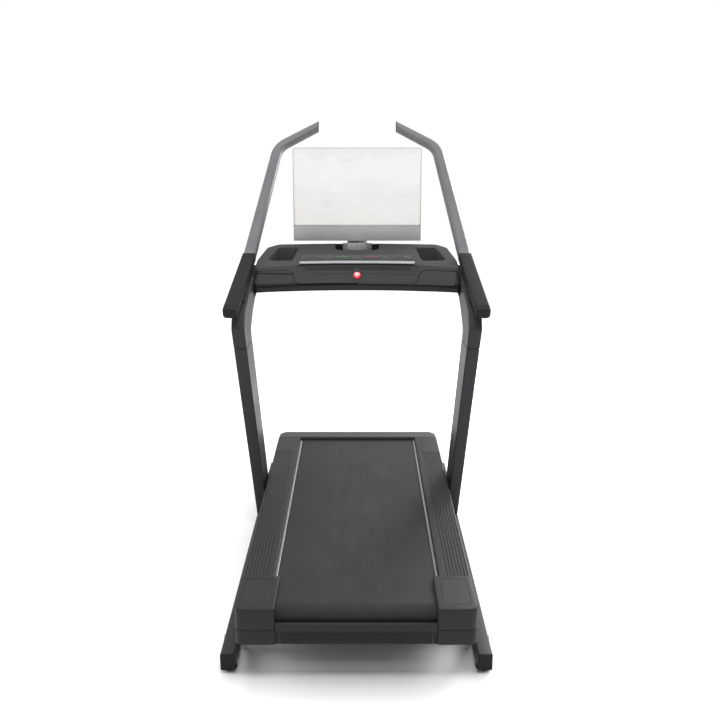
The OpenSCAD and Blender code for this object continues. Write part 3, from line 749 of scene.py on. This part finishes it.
def on_top(x, u, h):
    """A point on the console's top: u runs up its slope and h stands off it."""
    return Vector((x, TOP_Y + u * math.cos(SLOPE) - h * math.sin(SLOPE),
                   TOP_Z + u * math.sin(SLOPE) + h * math.cos(SLOPE)))


def face_plate(name, outline, near, far, edge=0.0):
    """A plate that follows the console's front: outline in x and s, depth from near to far."""
    bm = slab(outline, near, far)
    if edge > 0:
        eased_edges(bm, [e for e in bm.edges if all(abs(v.co.z - near) < 1e-4 for v in e.verts)], edge, 2)
    lo, hi = min(p[0] for p in outline), max(p[0] for p in outline)
    for k in range(1, int((hi - lo) / 14)):
        bmesh.ops.bisect_plane(bm, geom=bm.verts[:] + bm.edges[:] + bm.faces[:],
                               plane_co=(lo + k * 14, 0, 0), plane_no=(1, 0, 0))
    for v in bm.verts:
        v.co = on_face(*v.co)
    return from_bmesh(name, bm)


def top_plate(name, outline, low, high):
    """A plate on the console's top: outline in x and u, standing from low to high."""
    return columns(name, [[on_top(p[0], p[1], low), on_top(p[0], p[1], high)] for p in outline])


def seam_curve(gap=0.0, steps=8):
    """The front's main seam from the left to the right, as x and z, moved down by gap."""
    angles = [math.pi / 2 * k / steps for k in range(steps + 1)]
    left = [(-290 + (38 - gap) * math.sin(a), 1230 + (SEAM_Z - 1230 - gap) * math.cos(a)) for a in angles]
    left += [(-232 - (20 + gap) * math.cos(a), DIP_Z - gap + (1230 - DIP_Z + gap) * (1 - math.sin(a)))
             for a in angles[1:]]
    return left + [(-x, z) for x, z in reversed(left)]


def console_columns(shrink, foot_z, top_z=None, fillet=11.0):
    """Columns round the console's plan. With top_z the sides stop there and no fillet is made."""
    lean = FACE_UP.x / FACE_UP.y
    seam_y = FACE_FOOT.x + (SEAM_Z - FACE_FOOT.y) * lean
    front_xs = {*range(-200, 201, 20), 305, 320, 340, 360, 380, 396, -305, -320, -340, -360, -380, -396}
    if top_z is None:
        front_xs |= {x for x, z in seam_curve()}
    front = [swept(x, seam_y, 0).to_2d() for x in sorted(front_xs)]
    corner_y = front[0].y - 4
    right = [(418, corner_y), (418, 155), (393, 320), (348, 367)]
    rest = right + [(0, 385)] + [(-x, y) for x, y in reversed(right)]
    plan = rounded(front + rest, [0] * len(front) + [16, 60, 30, 40, 0, 40, 30, 60, 16])
    drops = {round(x, 3): z for x, z in seam_curve()}
    cols = []
    for p, n in zip(plan, normals_in(plan)):
        m = lean * max(0.0, n.y) ** 2

        def wall(z, off=0.0):
            q = p + n * (m * (z - SEAM_Z) + off)
            return Vector((q.x, q.y, z))

        if top_z is not None:
            cols.append([wall(foot_z, shrink + 4), wall(foot_z + 4, shrink), wall(top_z, shrink)])
            continue
        seam, step = SEAM_Z, PLATE + 0.4
        if p.y < 110 and abs(p.x) < 300:
            in_dip = abs(round(p.x, 3)) < 233
            seam = drops.get(round(p.x, 3), DIP_Z if in_dip else SEAM_Z)
            step = 0.0 if in_dip else step
        h = (plane_z(p.y) - SEAM_Z) / (1 - n.y * m * math.tan(SLOPE))
        corner = wall(SEAM_Z + h)
        reach = fillet * (0.45 if n.y > 0.5 else 0.8)
        inner = corner.to_2d() + n * reach
        beyond = Vector((inner.x, inner.y, plane_z(inner.y)))
        cols.append([wall(foot_z, step), wall(max(seam, foot_z + 0.1), step), wall(max(seam, foot_z + 0.2)),
                     *curve(wall(SEAM_Z + h - reach), corner, beyond, 6)])
    return cols


def tray_outline(d):
    return inset(rounded([(268, 140), (375, 140), (342, 315), (252, 315)], [18] * 4, 8), d)


def insert_outline(d):
    """The insert in the middle of the front, as x and s, moved inwards by d."""
    foot = up_face(1246)
    return inset(rounded([(-238, foot), (238, foot), (246, 84), (-246, 84)], [14, 14, 3, 3]), d)


def console_shell():
    shell = columns("console_upper_shell", console_columns(0, SHELL_FOOT_Z), smooth=35)
    cut(shell, *paired(prism("well", tray_outline(-0.4), "z", 1190, 1420)),
        prism("pocket", rectangle(-96, 278, 96, 440, [34, 34, 0, 0], 8), "z", 1296, 1420),
        face_plate("insert_space", insert_outline(-0.9), -6, 5.0),
        top_plate("panel_space", rectangle(-236, 47, 236, 109, 6), -1.0, 30))
    dress(bevelled(shell, 1.0, 3, 50), "base", "console_plastic", ["console_top"])


def console_front():
    plate = face_plate("front_insert", insert_outline(0), 0.2, 4.6, 0.8)
    slots = [face_plate("slot", rectangle(x0, s0, x1, s1, 1.9, 4), -3, 3.4)
             for x0, s0, x1, s1 in ((12, 62.5, 222, 66.5), (6, 70, 214, 75))]
    cut(plate, *paired(*slots))
    dress(bevelled(plate, 0.4, 2, 50), "base", "console_plastic", ["console_fascia"])
    top = up_face(SEAM_Z - 1.5)
    outline = rounded([(-401, 0.6), (401, 0.6), (404, top)], [16, 16, 5])
    outline += [Vector((x, up_face(z))) for x, z in reversed(seam_curve(1.5))]
    outline += rounded([(401, 0.6), (404, top), (-404, top), (-401, 0.6)], [0, 0, 5, 0])[2:-1]
    dress(face_plate("lower_front_panel", outline, 0, PLATE, 1.1), "base", "console_plastic")
    trim = [(58.6, 1207.2), (60, 1205.4), (66.2, 1187), (68, 1183.4), (71, 1182), (96, 1182), (96, 1186),
            (74, 1188), (68, 1207.2)]
    band = columns("console_lower_trim", [arc_row(403, 60, y, z) for y, z in trim])
    dress(bevelled(band, 0.5, 2, 40), "base", "black_plastic")
    fillet = [(419.7, 1190), (396, 1190), (396, 1182.4)]
    angles = [math.pi / 16 * k for k in range(9)]
    fillet += [(397.5 + 22 * math.sin(a), 1160 + 22 * math.cos(a)) for a in angles]
    gussets = paired(bevelled(prism("gusset", fillet, "y", 24, 70), 0.8, 2, 40))
    dress(joined("console_corner_fillets", gussets), "base", "black_plastic")


def arc_row(half, count, y, z):
    """Points of the front's cross-section point (y, z), carried round the arc from side to side."""
    return [swept(-half + 2 * half * k / count, y, z) for k in range(count + 1)]


def console_pan():
    pan = columns("console_lower_pan", console_columns(PLATE + 0.6, 1182.5, SHELL_FOOT_Z - 0.3), smooth=35)
    cut(pan, *[prism("vent", rectangle(x - 3, 200, x + 3, 300, 2.9, 4), "z", 1170, 1186)
               for x in range(-104, 105, 26)])
    dress(bevelled(pan, 0.8, 2, 50), "base", "black_plastic", ["console_base"])


def trays():
    floor_z = 1226.0
    brim = None
    rings = ((0, floor_z - 3), (0.2, brim), (2.6, brim), (4.0, floor_z + 9), (6.0, floor_z + 2.6),
             (12, floor_z))
    cols = []
    for points in zip(*[tray_outline(d) for d, _ in rings]):
        cols.append([(p.x, p.y, plane_z(p.y) - 0.8 if z is brim else z) for p, (_, z) in zip(points, rings)])
    wells = paired(bevelled(columns("tray", cols, smooth=30), 0.6, 2, 60))
    dress(joined("storage_wells", wells), "base", "console_plastic", ["storage_trays"])
    ribs = []
    for k in range(9):
        y = 163 + k * 15.5
        back = (y - 140) / 175
        outline = rectangle(290 - 16 * back, y, 353 - 33 * back, y + 5, 2.4, 4)
        ribs.append(bevelled(prism("rib", outline, "z", floor_z, floor_z + 1.8), 0.7, 2, 50))
    dress(joined("tray_mats", paired(*ribs)), "base", "rubber_black")


def key_row():
    keys = (("start_key", -63), ("stop_key", 63), ("speed_key", 180), ("incline_key", -180))
    plate = top_plate("key_panel_plate", rectangle(-234.6, 48.4, 234.6, 107.6, 5.5), -0.9, 1.0)
    cut(plate, *[top_plate("window", rectangle(x - 36, 64, x + 36, 88, 4.6), -4, 4) for _, x in keys])
    dress(bevelled(plate, 0.4, 2, 50), "base", "panel_plastic", ["key_panel"])
    bracket = [(-29, 80.5), (-29, 75.5), (-26, 72), (26, 72), (29, 75.5), (29, 80.5), (26.4, 80.5),
               (26.4, 76.4), (25, 74.6), (-25, 74.6), (-26.4, 76.4), (-26.4, 80.5)]
    dashes = ((-29, 75.2, -19, 76.8), (19, 75.2, 29, 76.8), (23.2, 71, 24.8, 74.6), (23.2, 77.4, 24.8, 81))
    for name, x in keys:
        face = rectangle(x - 35, 65, x + 35, 87, 4.2)
        cols = []
        for p, n in zip(face, normals_in(face)):
            cols.append([on_top(*(p + n * d), h) for d, h in ((0, -6), (0, 1.3), (0.9, 2.1), (6, 2.3))])
        dress(columns(name + "_cap", cols, smooth=30), name, "panel_plastic", [name])
        if name in ("start_key", "stop_key"):
            dress(top_plate(name + "_mark", [(x + a, b) for a, b in bracket], 1.9, 2.5), name, name)
        else:
            marks = [top_plate("dash", rectangle(x + a, b, x + c, d, 0.7, 3), 1.9, 2.45)
                     for a, b, c, d in dashes]
            dress(joined(name + "_mark", marks), name, "screen_grey")


def silver_lip():
    section = rounded([(97.6, 1286.4), (106, 1286.2), (109.5, 1289.4), (121, 1291.4), (121, 1295.4),
                       (112, 1295.8), (97.4, 1290.4)], [1.2, 1, 3, 1, 2, 8, 1.6], 5)
    lip = columns("tablet_lip", [arc_row(236, 48, p.x, p.y) for p in section], smooth=30)
    dress(bevelled(lip, 1.4, 3, 55), "base", "silver_trim", ["tablet_rest"])


def safety_plug():
    tilt = Matrix.Translation(Vector((0, 79, 1238)) * MM) @ Matrix.Rotation(math.radians(57.3), 4, "X")
    origin = (0, 0, 0)
    knob = lathe("safety_knob", [(5, -16), (5, 2.4), (14.6, 2.4), (15.6, 3.0), (16, 4.2), (16, 6.4),
                                 (15, 8.2), (12.6, 9.2), (11.8, 8.4), (6, 8.0)], origin, "z", 48, 30)
    ring = [(5.6, 8.0), (5.4, 8.7), (3.8, 8.7), (3.6, 8.0)]
    mark = lathe("safety_mark", ring, origin, "z", 32, caps=False)
    collar = [(17.4, -0.6), (17.4, 1.0), (16.6, 1.6), (6.4, 1.6), (6.0, -0.6)]
    seat = lathe("safety_socket", collar, origin, "z", 40, caps=False)
    dress(moved(knob, tilt), "safety_key", "safety_red", ["safety_key"])
    dress(moved(mark, tilt), "safety_key", "safety_red", look="white_mark")
    dress(moved(seat, tilt), "base", "black_plastic")


console_shell()
console_front()
console_pan()
trays()
key_row()
silver_lip()
safety_plug()


# ---- handlebars ----

def bar_path(points, radii, longest=40.0):
    """Points along a route whose inner corners are rounded, none further apart than longest."""
    route = [points[0]]
    for before, p, after, radius in zip(points, points[1:], points[2:], radii):
        a = (before - p).normalized()
        b = (after - p).normalized()
        reach = radius / math.tan(a.angle(b) / 2)
        route += curve(p + a * reach, p, p + b * reach, 12)
    route.append(points[-1])
    path = [route[0]]
    for p, q in zip(route, route[1:]):
        count = max(1, math.ceil((q - p).length / longest))
        path += [p.lerp(q, k / count) for k in range(1, count + 1)]
    return path


def grip_section(shrink, top=6.0, bottom=13.0):
    w, h = 27 - shrink, 20 - shrink
    return rectangle(-w, -h, w, h, [bottom, bottom, top, top])


def handlebars():
    along = (BAR_BEND - BAR_REAR).normalized()
    tip_at = BAR_TIP + Vector((3, 0, -4.5))
    path = bar_path([BAR_REAR + along * 10.4, BAR_BEND, BAR_ELBOW, tip_at], [95, 125])
    bend_at = (BAR_BEND - BAR_REAR).length
    gone = [0.0]
    for p, q in zip(path, path[1:]):
        gone.append(gone[-1] + (q - p).length)
    sections = []
    for far in gone:
        past = far - bend_at + 60
        t = max(0.0, min(1.0, past / (gone[-1] - bend_at + 60)))
        sleeve = max(0.0, min(1.0, past / 60))
        w, h = 24 + sleeve - 4 * t, 17 + 5 * sleeve - 4 * t
        sections.append(rectangle(-w, -h, w, h, 9 + 4 * sleeve))
    tube = sweep("handlebar_tube_right", path, sections, 35, tip_at.x)
    dress(tube, "base", "handle_metal", ["handlebar_right"])
    dress(mirrored(tube, "handlebar_tube_left"), "base", "handle_metal", ["handlebar_left"])

    length = bend_at - 30
    rings = [(0, 3.0), (1.6, 0.9), (4, 0)] + [(4 + (length - 8) * k / 14, 0) for k in range(1, 15)]
    rings += [(length - 1.6, 0.9), (length, 3.0)]
    sleeve = sweep("grip_sleeve", [BAR_REAR + along * (10.6 + far) for far, _ in rings],
                   [grip_section(shrink) for _, shrink in rings], 30)
    dress(joined("grip_sleeves", paired(sleeve)), "base", "grip_rubber", ["handle_grips"])

    rings = [(0, 5.5), (0.5, 3.4), (1.8, 1.6), (4, 0.3), (7, 0), (9.6, 0), (10.2, 0.8)]
    plug = sweep("end_plug", [BAR_REAR + along * far for far, _ in rings],
                 [grip_section(shrink, 7, 14) for _, shrink in rings], 30)
    last = [v.co / MM for v in tube.data.vertices if abs(v.co.x / MM - tip_at.x) < 0.01]
    middle = sum(last, Vector()) / len(last)
    last.sort(key=lambda q: math.atan2(q.z - middle.z, q.y - middle.y))
    cols = [[middle + (q - middle) * grow + Vector((x, 0, 0))
             for grow, x in ((1.0, -0.1), (1.0, -1.6), (0.94, -2.4), (0.8, -2.6))] for q in last]
    plugs = paired(plug, columns("tip_plug", cols, smooth=30))
    dress(joined("handlebar_end_plugs", plugs), "base", "black_plastic", ["handlebar_caps"])


handlebars()


# ---- screen ----

TILTED = Matrix.Translation(SCREEN_AT * MM) @ Matrix.Rotation(-TILT, 4, "X")


def on_screen(obj, slot, nodes=(), look=None):
    """Dresses a piece that is drawn upright at the origin and leans with the screen."""
    dress(moved(obj, TILTED), "screen", slot, nodes, look)


def screen_outline(shrink):
    low_r, top_r = max(4 - shrink, 1), max(11 - shrink, 1)
    half = SCREEN_W / 2 - shrink
    return rectangle(-half, shrink, half, SCREEN_H - shrink, [low_r, low_r, top_r, top_r])


def screen_case():
    rings = ((1.2, 1.9), (0, 3.2), (0, 12), (1, 18), (4, 23), (10, 27), (20, 29.6), (34, 30.8), (60, 31.2))
    case = layered("screen_case", [(screen_outline(s), depth) for s, depth in rings], "y", smooth=30)
    cut(case, *paired(*[prism("vent", rectangle(x - 2.2, 300, x + 2.2, 338, 2.1, 4), "y", 26, 36)
                        for x in range(52, 207, 11)]))
    on_screen(bevelled(case, 0.5, 2, 50), "screen_grey", ["screen_back"], "screen_shell")
    plate = fixed(bevelled(prism("hinge_plate", rectangle(-78, 38, 78, 122, 8), "y", 31.0, SCREEN_T), 1.2))
    on_screen(plate, "screen_grey", look="screen_shell")
    screws = [socket_bolt("screw", (x, SCREEN_T - 0.2, z), "y", 4.5, 2.4)
              for x in (-66, 66) for z in (50, 110)]
    on_screen(joined("screen_screws", screws), "bolt_steel")
    y, z = HINGE.y, HINGE.z
    lug = [(456, z - 14), (y - 4, z - 14)]
    lug += [(y + 12.5 * math.cos(a), z + 12.5 * math.sin(a)) for a in map(math.radians, range(-80, 91, 17))]
    lug.append((456, z + 12.5))
    lugs = paired(bevelled(prism("lug", lug, "x", 49.2, 67), 1.5, 3, 50))
    dress(joined("screen_lugs", lugs), "screen", "screen_grey", look="screen_shell")
    pin = lathe("hinge_pin", [(4.6, -70), (6, -68.6), (6, 68.6), (4.6, 70)], HINGE, "x", 32)
    dress(pin, "screen", "bolt_steel")


def screen_front():
    rim = 2.6
    outer, inner = screen_outline(0.2), screen_outline(rim)
    lip = [(outer, 1.6), (outer, 0.5), ([(p.x * 0.9985, p.y) for p in outer], 0), (inner, 0), (inner, 0.9),
           (inner, 1.6)]
    on_screen(layered("screen_rim", lip, "y", True, 30), "screen_grey")
    half = SCREEN_W / 2 - rim - 0.3
    face = rectangle(-half, BAR_H + 0.8, half, SCREEN_H - rim - 0.3, [1, 1, 8, 8])
    glass = bevelled(prism("screen_picture", inset(face, 5.5), "y", 0.9, 1.6), 0.25, 2)
    on_screen(glass, "screen_face", ["screen_glass"])
    inside = inset(face, 5.3)
    border = layered("screen_border", [(face, 0.6), (inside, 0.6), (inside, 1.5), (face, 1.5)], "y", True)
    on_screen(border, "screen_grey", look="white_mark")
    crest = BAR_H - 21
    section = [(1.6, 2.9), (0.7, 2.9), (0.35, 3.6), (0.15, crest - 1), (0.6, crest), (1.3, BAR_H - 0.6),
               (1.6, BAR_H)]
    bar = bevelled(prism("screen_lower_bar", section, "x", -half, half), 0.3, 2, 50)
    on_screen(bar, "screen_grey", ["screen_bar"])
    dots = [(x, 363, 4.6, 4.6) for x in (-226, 216)] + [(x, 363, 14.3, 4.55) for x in (-88, -2, 82)]
    dots += [(x, 100, 5.2, 5.2) for x in (-250, 222, 250)]
    icons = joined("screen_icons", [prism("dot", oval(*dot, 20), "y", 0.75, 1.0) for dot in dots])
    on_screen(icons, "screen_face", look="white_mark")


def screen_mast():
    y, z0 = 345, 1297.0
    drum = lathe("swivel_drum", [(61, z0), (63.4, z0 + 1), (64, z0 + 2.6), (64, z0 + 49), (63, z0 + 50.4),
                                 (61.4, z0 + 51), (20, z0 + 51)], (0, y, 0), "z", 96, 30)
    fall = 0.14
    top = z0 + 51
    slant = [(y - 80, top + 16 * fall), (y + 80, top - 144 * fall), (y + 80, top + 39), (y - 80, top + 39)]
    cut(drum, prism("slant", slant, "x", -80, 80))
    cut(drum, prism("groove", rectangle(-1.1, y - 72, 1.1, y - 60), "z", z0 - 5, z0 + 60))
    walls = paired(prism("wall", rectangle(60, z0 - 1, 96.5, z0 + 35), "y", y + 29, y + 33))
    dress(bevelled(joined("drum_recess_walls", walls), 0.8, 2, 50), "base", "black_plastic")
    neck = [(y + 20, 1299.2), (502, 1299.2), (502, 1408), (498, 1416), (494, 1419), (478.5, 1402),
            (478.5, 1345), (470, 1331), (456, 1329.8), (y + 20, 1329.8)]
    stalk = prism("mast_stalk", rounded(neck, [0, 10, 0, 0, 0, 6, 16, 20, 8, 0], 5), "x", -45, 45)
    sleeve = [(6.2, -45), (11.2, -45), (12, -44.2), (12, 44.2), (11.2, 45), (6.2, 45)]
    knuckle = lathe("mast_knuckle", sleeve, HINGE, "x", 40)
    mast = joined("screen_mast", [drum, bevelled(stalk, 2.0, 3, 50), knuckle])
    dress(mast, "screen_swivel", "mast_silver", ["screen_post"])


screen_case()
screen_front()
screen_mast()


# ---- running deck ----

def foot_rails():
    x0, x1 = foot_lo.x, foot_hi.x
    top, low = foot_hi.z, foot_lo.z
    rib_end = 497.0

    def section(ribs):
        outline = [(x1 - 3, low), (x1, low)] + rounded([(x1, low), (x1, top), (x0, top)], [0, 6, 0])[1:-1]
        for k in range(ribs):
            a = x1 - 8 - k * 12
            outline += [(a + 0.9, top), (a, top - 0.8), (a - 0.7, top - 2.6), (a - 3.3, top - 2.6),
                        (a - 4, top - 0.8), (a - 4.9, top)]
        outline += rounded([(x0, low), (x0 + 20, top), (x0, top), (x0, 288)], [0, 0, 3.5, 0], 5)[2:]
        return outline + [(x0 + 4, 288), (x0 + 4, top - 5), (x1 - 3, top - 5)]

    ribbed = prism("tread", section(7), "y", foot_lo.y, rib_end)
    smooth = prism("patch", section(0), "y", rib_end + 0.1, foot_hi.y)
    right = joined("foot_rail_cover", [ribbed, smooth])
    both("foot_rail_cover", right, "deck", "deck_plastic", "foot_rail_")


def edge_strips():
    outline = rectangle(strip_hi.x - 9.6, strip_lo.z, strip_hi.x, strip_hi.z, 1.2, 3)
    strips = paired(prism("strip", outline, "y", strip_lo.y + 0.3, strip_hi.y - 0.3))
    dress(joined("belt_side_strips", strips), "deck", "silver_trim", ["belt_edge_strips"])


def cap_part(z0, z1, plan, kept_y):
    """Half of a rear cap. Its rims are rounded, but not along its front face at kept_y."""
    bm = slab(plan, z0, z1)

    def rim(z):
        return [e for e in bm.edges if all(abs(v.co.z - z) < 1e-4 for v in e.verts)
                and not all(abs(v.co.y - kept_y) < 1e-4 for v in e.verts)]

    if z0 == cap_lo.z:
        outer = [e for e in rim(z0) if all(v.co.x > cap_lo.x + 1 for v in e.verts)
                 or all(v.co.y < cap_lo.y + 1 for v in e.verts)]
        eased_edges(bm, outer, 15, 6)
        eased_edges(bm, rim(z1), 0.9, 2, False)
    else:
        eased_edges(bm, rim(z1), 4.5, 4)
        eased_edges(bm, rim(z0), 0.9, 2, False)
    return from_bmesh("cap_part", bm, 30)


def rear_caps():
    x0, x1, y0, y1 = cap_lo.x, cap_hi.x, cap_lo.y, cap_hi.y
    low_z, top_z = cap_lo.z, cap_hi.z
    plan = rectangle(x0, y0, x1, y1, [5, 26, 0, 0], 8)
    parts = [cap_part(z0, z1, plan, y1) for z0, z1 in ((low_z, 227.4), (228.6, top_z))]
    spaces = ((x0 + 5, x1 - 5, low_z + 4, top_z - 5), (x0 - 5, 295, low_z - 5, 292),
              (298, 342, low_z - 5, 270))
    for part in parts:
        cut(part, *[prism("space", rectangle(a, y0 + 20, b, y1 + 5), "z", lo, hi)
                    for a, b, lo, hi in spaces])
    pad = rectangle(x0 + 20, y0 + 30, x1 - 18, y1 - 18, [8, 16, 8, 8])
    cut(parts[1], prism("recess", pad, "z", top_z - 1.3, top_z + 5))
    pad = bevelled(prism("pad", inset(pad, 1.5), "z", top_z - 1.3, top_z - 0.1), 0.5, 2)
    both("rear_cap_pad", pad, "deck", "deck_plastic")
    both("rear_cap_cover", joined("rear_cap_cover", parts), "deck", "deck_plastic", "rear_cap_")


def apron():
    y0, low = apron_lo.y, apron_lo.z
    half = 268.4
    section = rounded([(y0 + 14, 249), (y0, 249), (y0, 222.4), (y0 + 4, 222.4), (y0 + 4, 214),
                       (y0 + 14, 214)], [0, 4, 1.5, 0, 0, 0], 5)
    upper = prism("rear_apron_lip", section, "x", -half, half)
    dress(bevelled(upper, 0.6, 2, 50), "deck", "deck_plastic", ["rear_apron"])
    inner = half - 16
    lower = [prism("lower", rectangle(y0 + 5, low, y0 + 13, 213.4, 1.4, 3), "x", -inner, inner),
             prism("lower_top", rectangle(y0 + 5.2, 213.8, y0 + 13, 221.6, 0.6, 3), "x", -inner, inner)]
    end = rectangle(y0 + 4.2, low, y0 + 13, 221.6, 1.4, 3)
    lower += paired(prism("lower_end", end, "x", half - 14.6, half))
    dress(bevelled(joined("rear_lower_panel", lower), 0.6, 2, 50), "deck", "black_plastic")


def motor_cover():
    x1, y0, y1 = cover_hi.x, cover_lo.y, cover_hi.y
    low, top = cover_lo.z, cover_hi.z

    def plan(s):
        return rectangle(s - x1, y0 + min(s, 3), x1 - s, y1 - s, [0, 0, 45 - s, 45 - s], 12)

    rings = ((1.2, low), (0, low + 1.6), (0, top - 12), (0.9, top - 7.4), (3.5, top - 3.5), (7.4, top - 0.9),
             (12, top))
    cover = layered("motor_cover", [(plan(s), z) for s, z in rings], "z", smooth=30)
    cutters = [prism("inside", inset(plan(0), 4.5), "z", low - 5, top - 6),
               prism("gate", rectangle(-290, y0 - 5, 290, y0 + 6), "z", low - 5, 293),
               *paired(prism("rail_gate", rectangle(289, y0 - 5, 345, y0 + 6), "z", low - 5, 291))]
    for x in range(-216, 217, 24):
        for z in (236, 248):
            cutters.append(prism("vent", rectangle(x - 8, z, x + 8, z + 4, 1.9, 4), "y", y1 - 12, y1 + 5))
    cut(cover, *cutters)
    dress(bevelled(cover, 0.5, 2, 55), "deck", "cover_plastic", ["front_cover"])
    screws = [socket_bolt("screw", (x, y0 + 16, top - 1.2), "z", 4.2, 1.4) for x in (-370, -190, 190, 370)]
    dress(joined("cover_screws", screws), "deck", "black_plastic")


def running_belt():
    t = 2.5
    r = 38.0 + t
    rear, front, z = -866.0, 712.0, 249.5
    loop = []
    for flip, start, end in ((1, rear, front), (-1, front, rear)):
        loop += [(start + (end - start) * k / 60, z + r * flip, 0, flip) for k in range(61)]
        for k in range(1, 24):
            s, c = flip * math.sin(math.pi * k / 24), flip * math.cos(math.pi * k / 24)
            loop.append((end + r * s, z + r * c, s, c))
    half = belt_hi.x
    section = [(-half, 0.6), (-half + 0.8, 0), (half - 0.8, 0), (half, 0.6), (half, t), (-half, t),
               (-half, 0.6)]
    cols = [[(x, y - across * d, h - up * d) for x, d in section] for y, h, across, up in loop]
    dress(columns("running_belt", cols, False, 30), "deck", "belt_rubber", ["walking_belt"])


foot_rails()
edge_strips()
rear_caps()
apron()
motor_cover()
running_belt()


# ---- CAD nodes that stay ----

for node, slot, width, segments in (
        ("base_cross_members", "dark_steel", 1.2, 2), ("power_inlet", "black_plastic", 0.8, 2),
        ("power_switch", "safety_red", 0.6, 2), ("lift_motor", "dark_steel", 2.0, 3),
        ("lift_rod", "bolt_steel", 0.8, 2), ("lift_frame", "dark_steel", 1.2, 2),
        ("lift_rollers", "bolt_steel", 1.2, 3), ("console_board", "board_green", 0.3, 2),
        ("deck_rail_left", "dark_steel", 1.0, 2), ("deck_rail_right", "dark_steel", 1.0, 2),
        ("deck_cross_members", "dark_steel", 1.0, 2), ("drive_motor", "dark_steel", 1.0, 2),
        ("motor_pan", "dark_steel", 1.0, 2), ("walking_board", "walking_board", 1.0, 2),
        ("deck_cushions", "rubber_black", 1.5, 3), ("motor_pulley", "bolt_steel", 0.6, 2),
        ("drive_belt", "rubber_black", 0.3, 2), ("tension_bolts", "bolt_steel", 0.6, 2),
        ("front_roller", "bolt_steel", 0.8, 2), ("rear_roller", "bolt_steel", 0.8, 2)):
    keep(node, slot, width, segments)


# ---- room ----

def add_light(name, kind, watts, aim, place=(0, 0, 0)):
    data = bpy.data.lights.new(name, kind)
    data.energy = watts
    light = bpy.data.objects.new(name, data)
    light.location = place
    light.rotation_euler = aim.to_track_quat("-Z", "Y").to_euler()
    scene.collection.objects.link(light)
    return data


def lamp(name, place, target, size, watts):
    data = add_light(name, "AREA", watts, Vector(target) - Vector(place), place)
    data.shape = "RECTANGLE"
    data.size, data.size_y = size


def studio():
    floor = add_mesh("floor", [(-9000, -9000, 0), (9000, -9000, 0), (9000, 9000, 0), (-9000, 9000, 0)],
                     [(0, 1, 2, 3)])
    f = Finish("pale_floor", (0.92, 0.92, 0.92), 0.8, specular=0.1)
    f.fill(f.shader, Base_Color=f.mixed(f.noise(900), (0.91, 0.91, 0.91), (0.93, 0.93, 0.93)))
    floor.data.materials.append(f.mat)
    world = bpy.data.worlds.new("studio")
    world.use_nodes = True
    tree = world.node_tree
    background = tree.nodes["Background"]
    background.inputs["Strength"].default_value = 1.0
    ahead = tree.nodes.new("ShaderNodeSeparateXYZ")
    tree.links.new(tree.nodes.new("ShaderNodeTexCoord").outputs["Generated"], ahead.inputs[0])
    wall = tree.nodes.new("ShaderNodeMapRange")
    for key, number in (("From Min", -0.25), ("From Max", 0.45), ("To Min", 0.46), ("To Max", 1.0)):
        wall.inputs[key].default_value = number
    tree.links.new(ahead.outputs["Y"], wall.inputs["Value"])
    tree.links.new(wall.outputs["Result"], background.inputs["Color"])
    scene.world = world
    scene.view_settings.view_transform = "Standard"
    add_light("ceiling", "SUN", 1.9, Vector((-0.30, -0.22, -1))).angle = math.radians(70)
    lamp("left", (-3.4, -0.6, 2.6), (0, 0, 0.7), (1.6, 1.6), 30)
    lamp("rim", (2.2, 3.0, 2.1), (0.5, -0.4, 0.2), (1.3, 1.3), 130)
    lamp("front_top", (0, -3.2, 5.0), (0, -0.2, 1.1), (2.0, 1.0), 110)


studio()
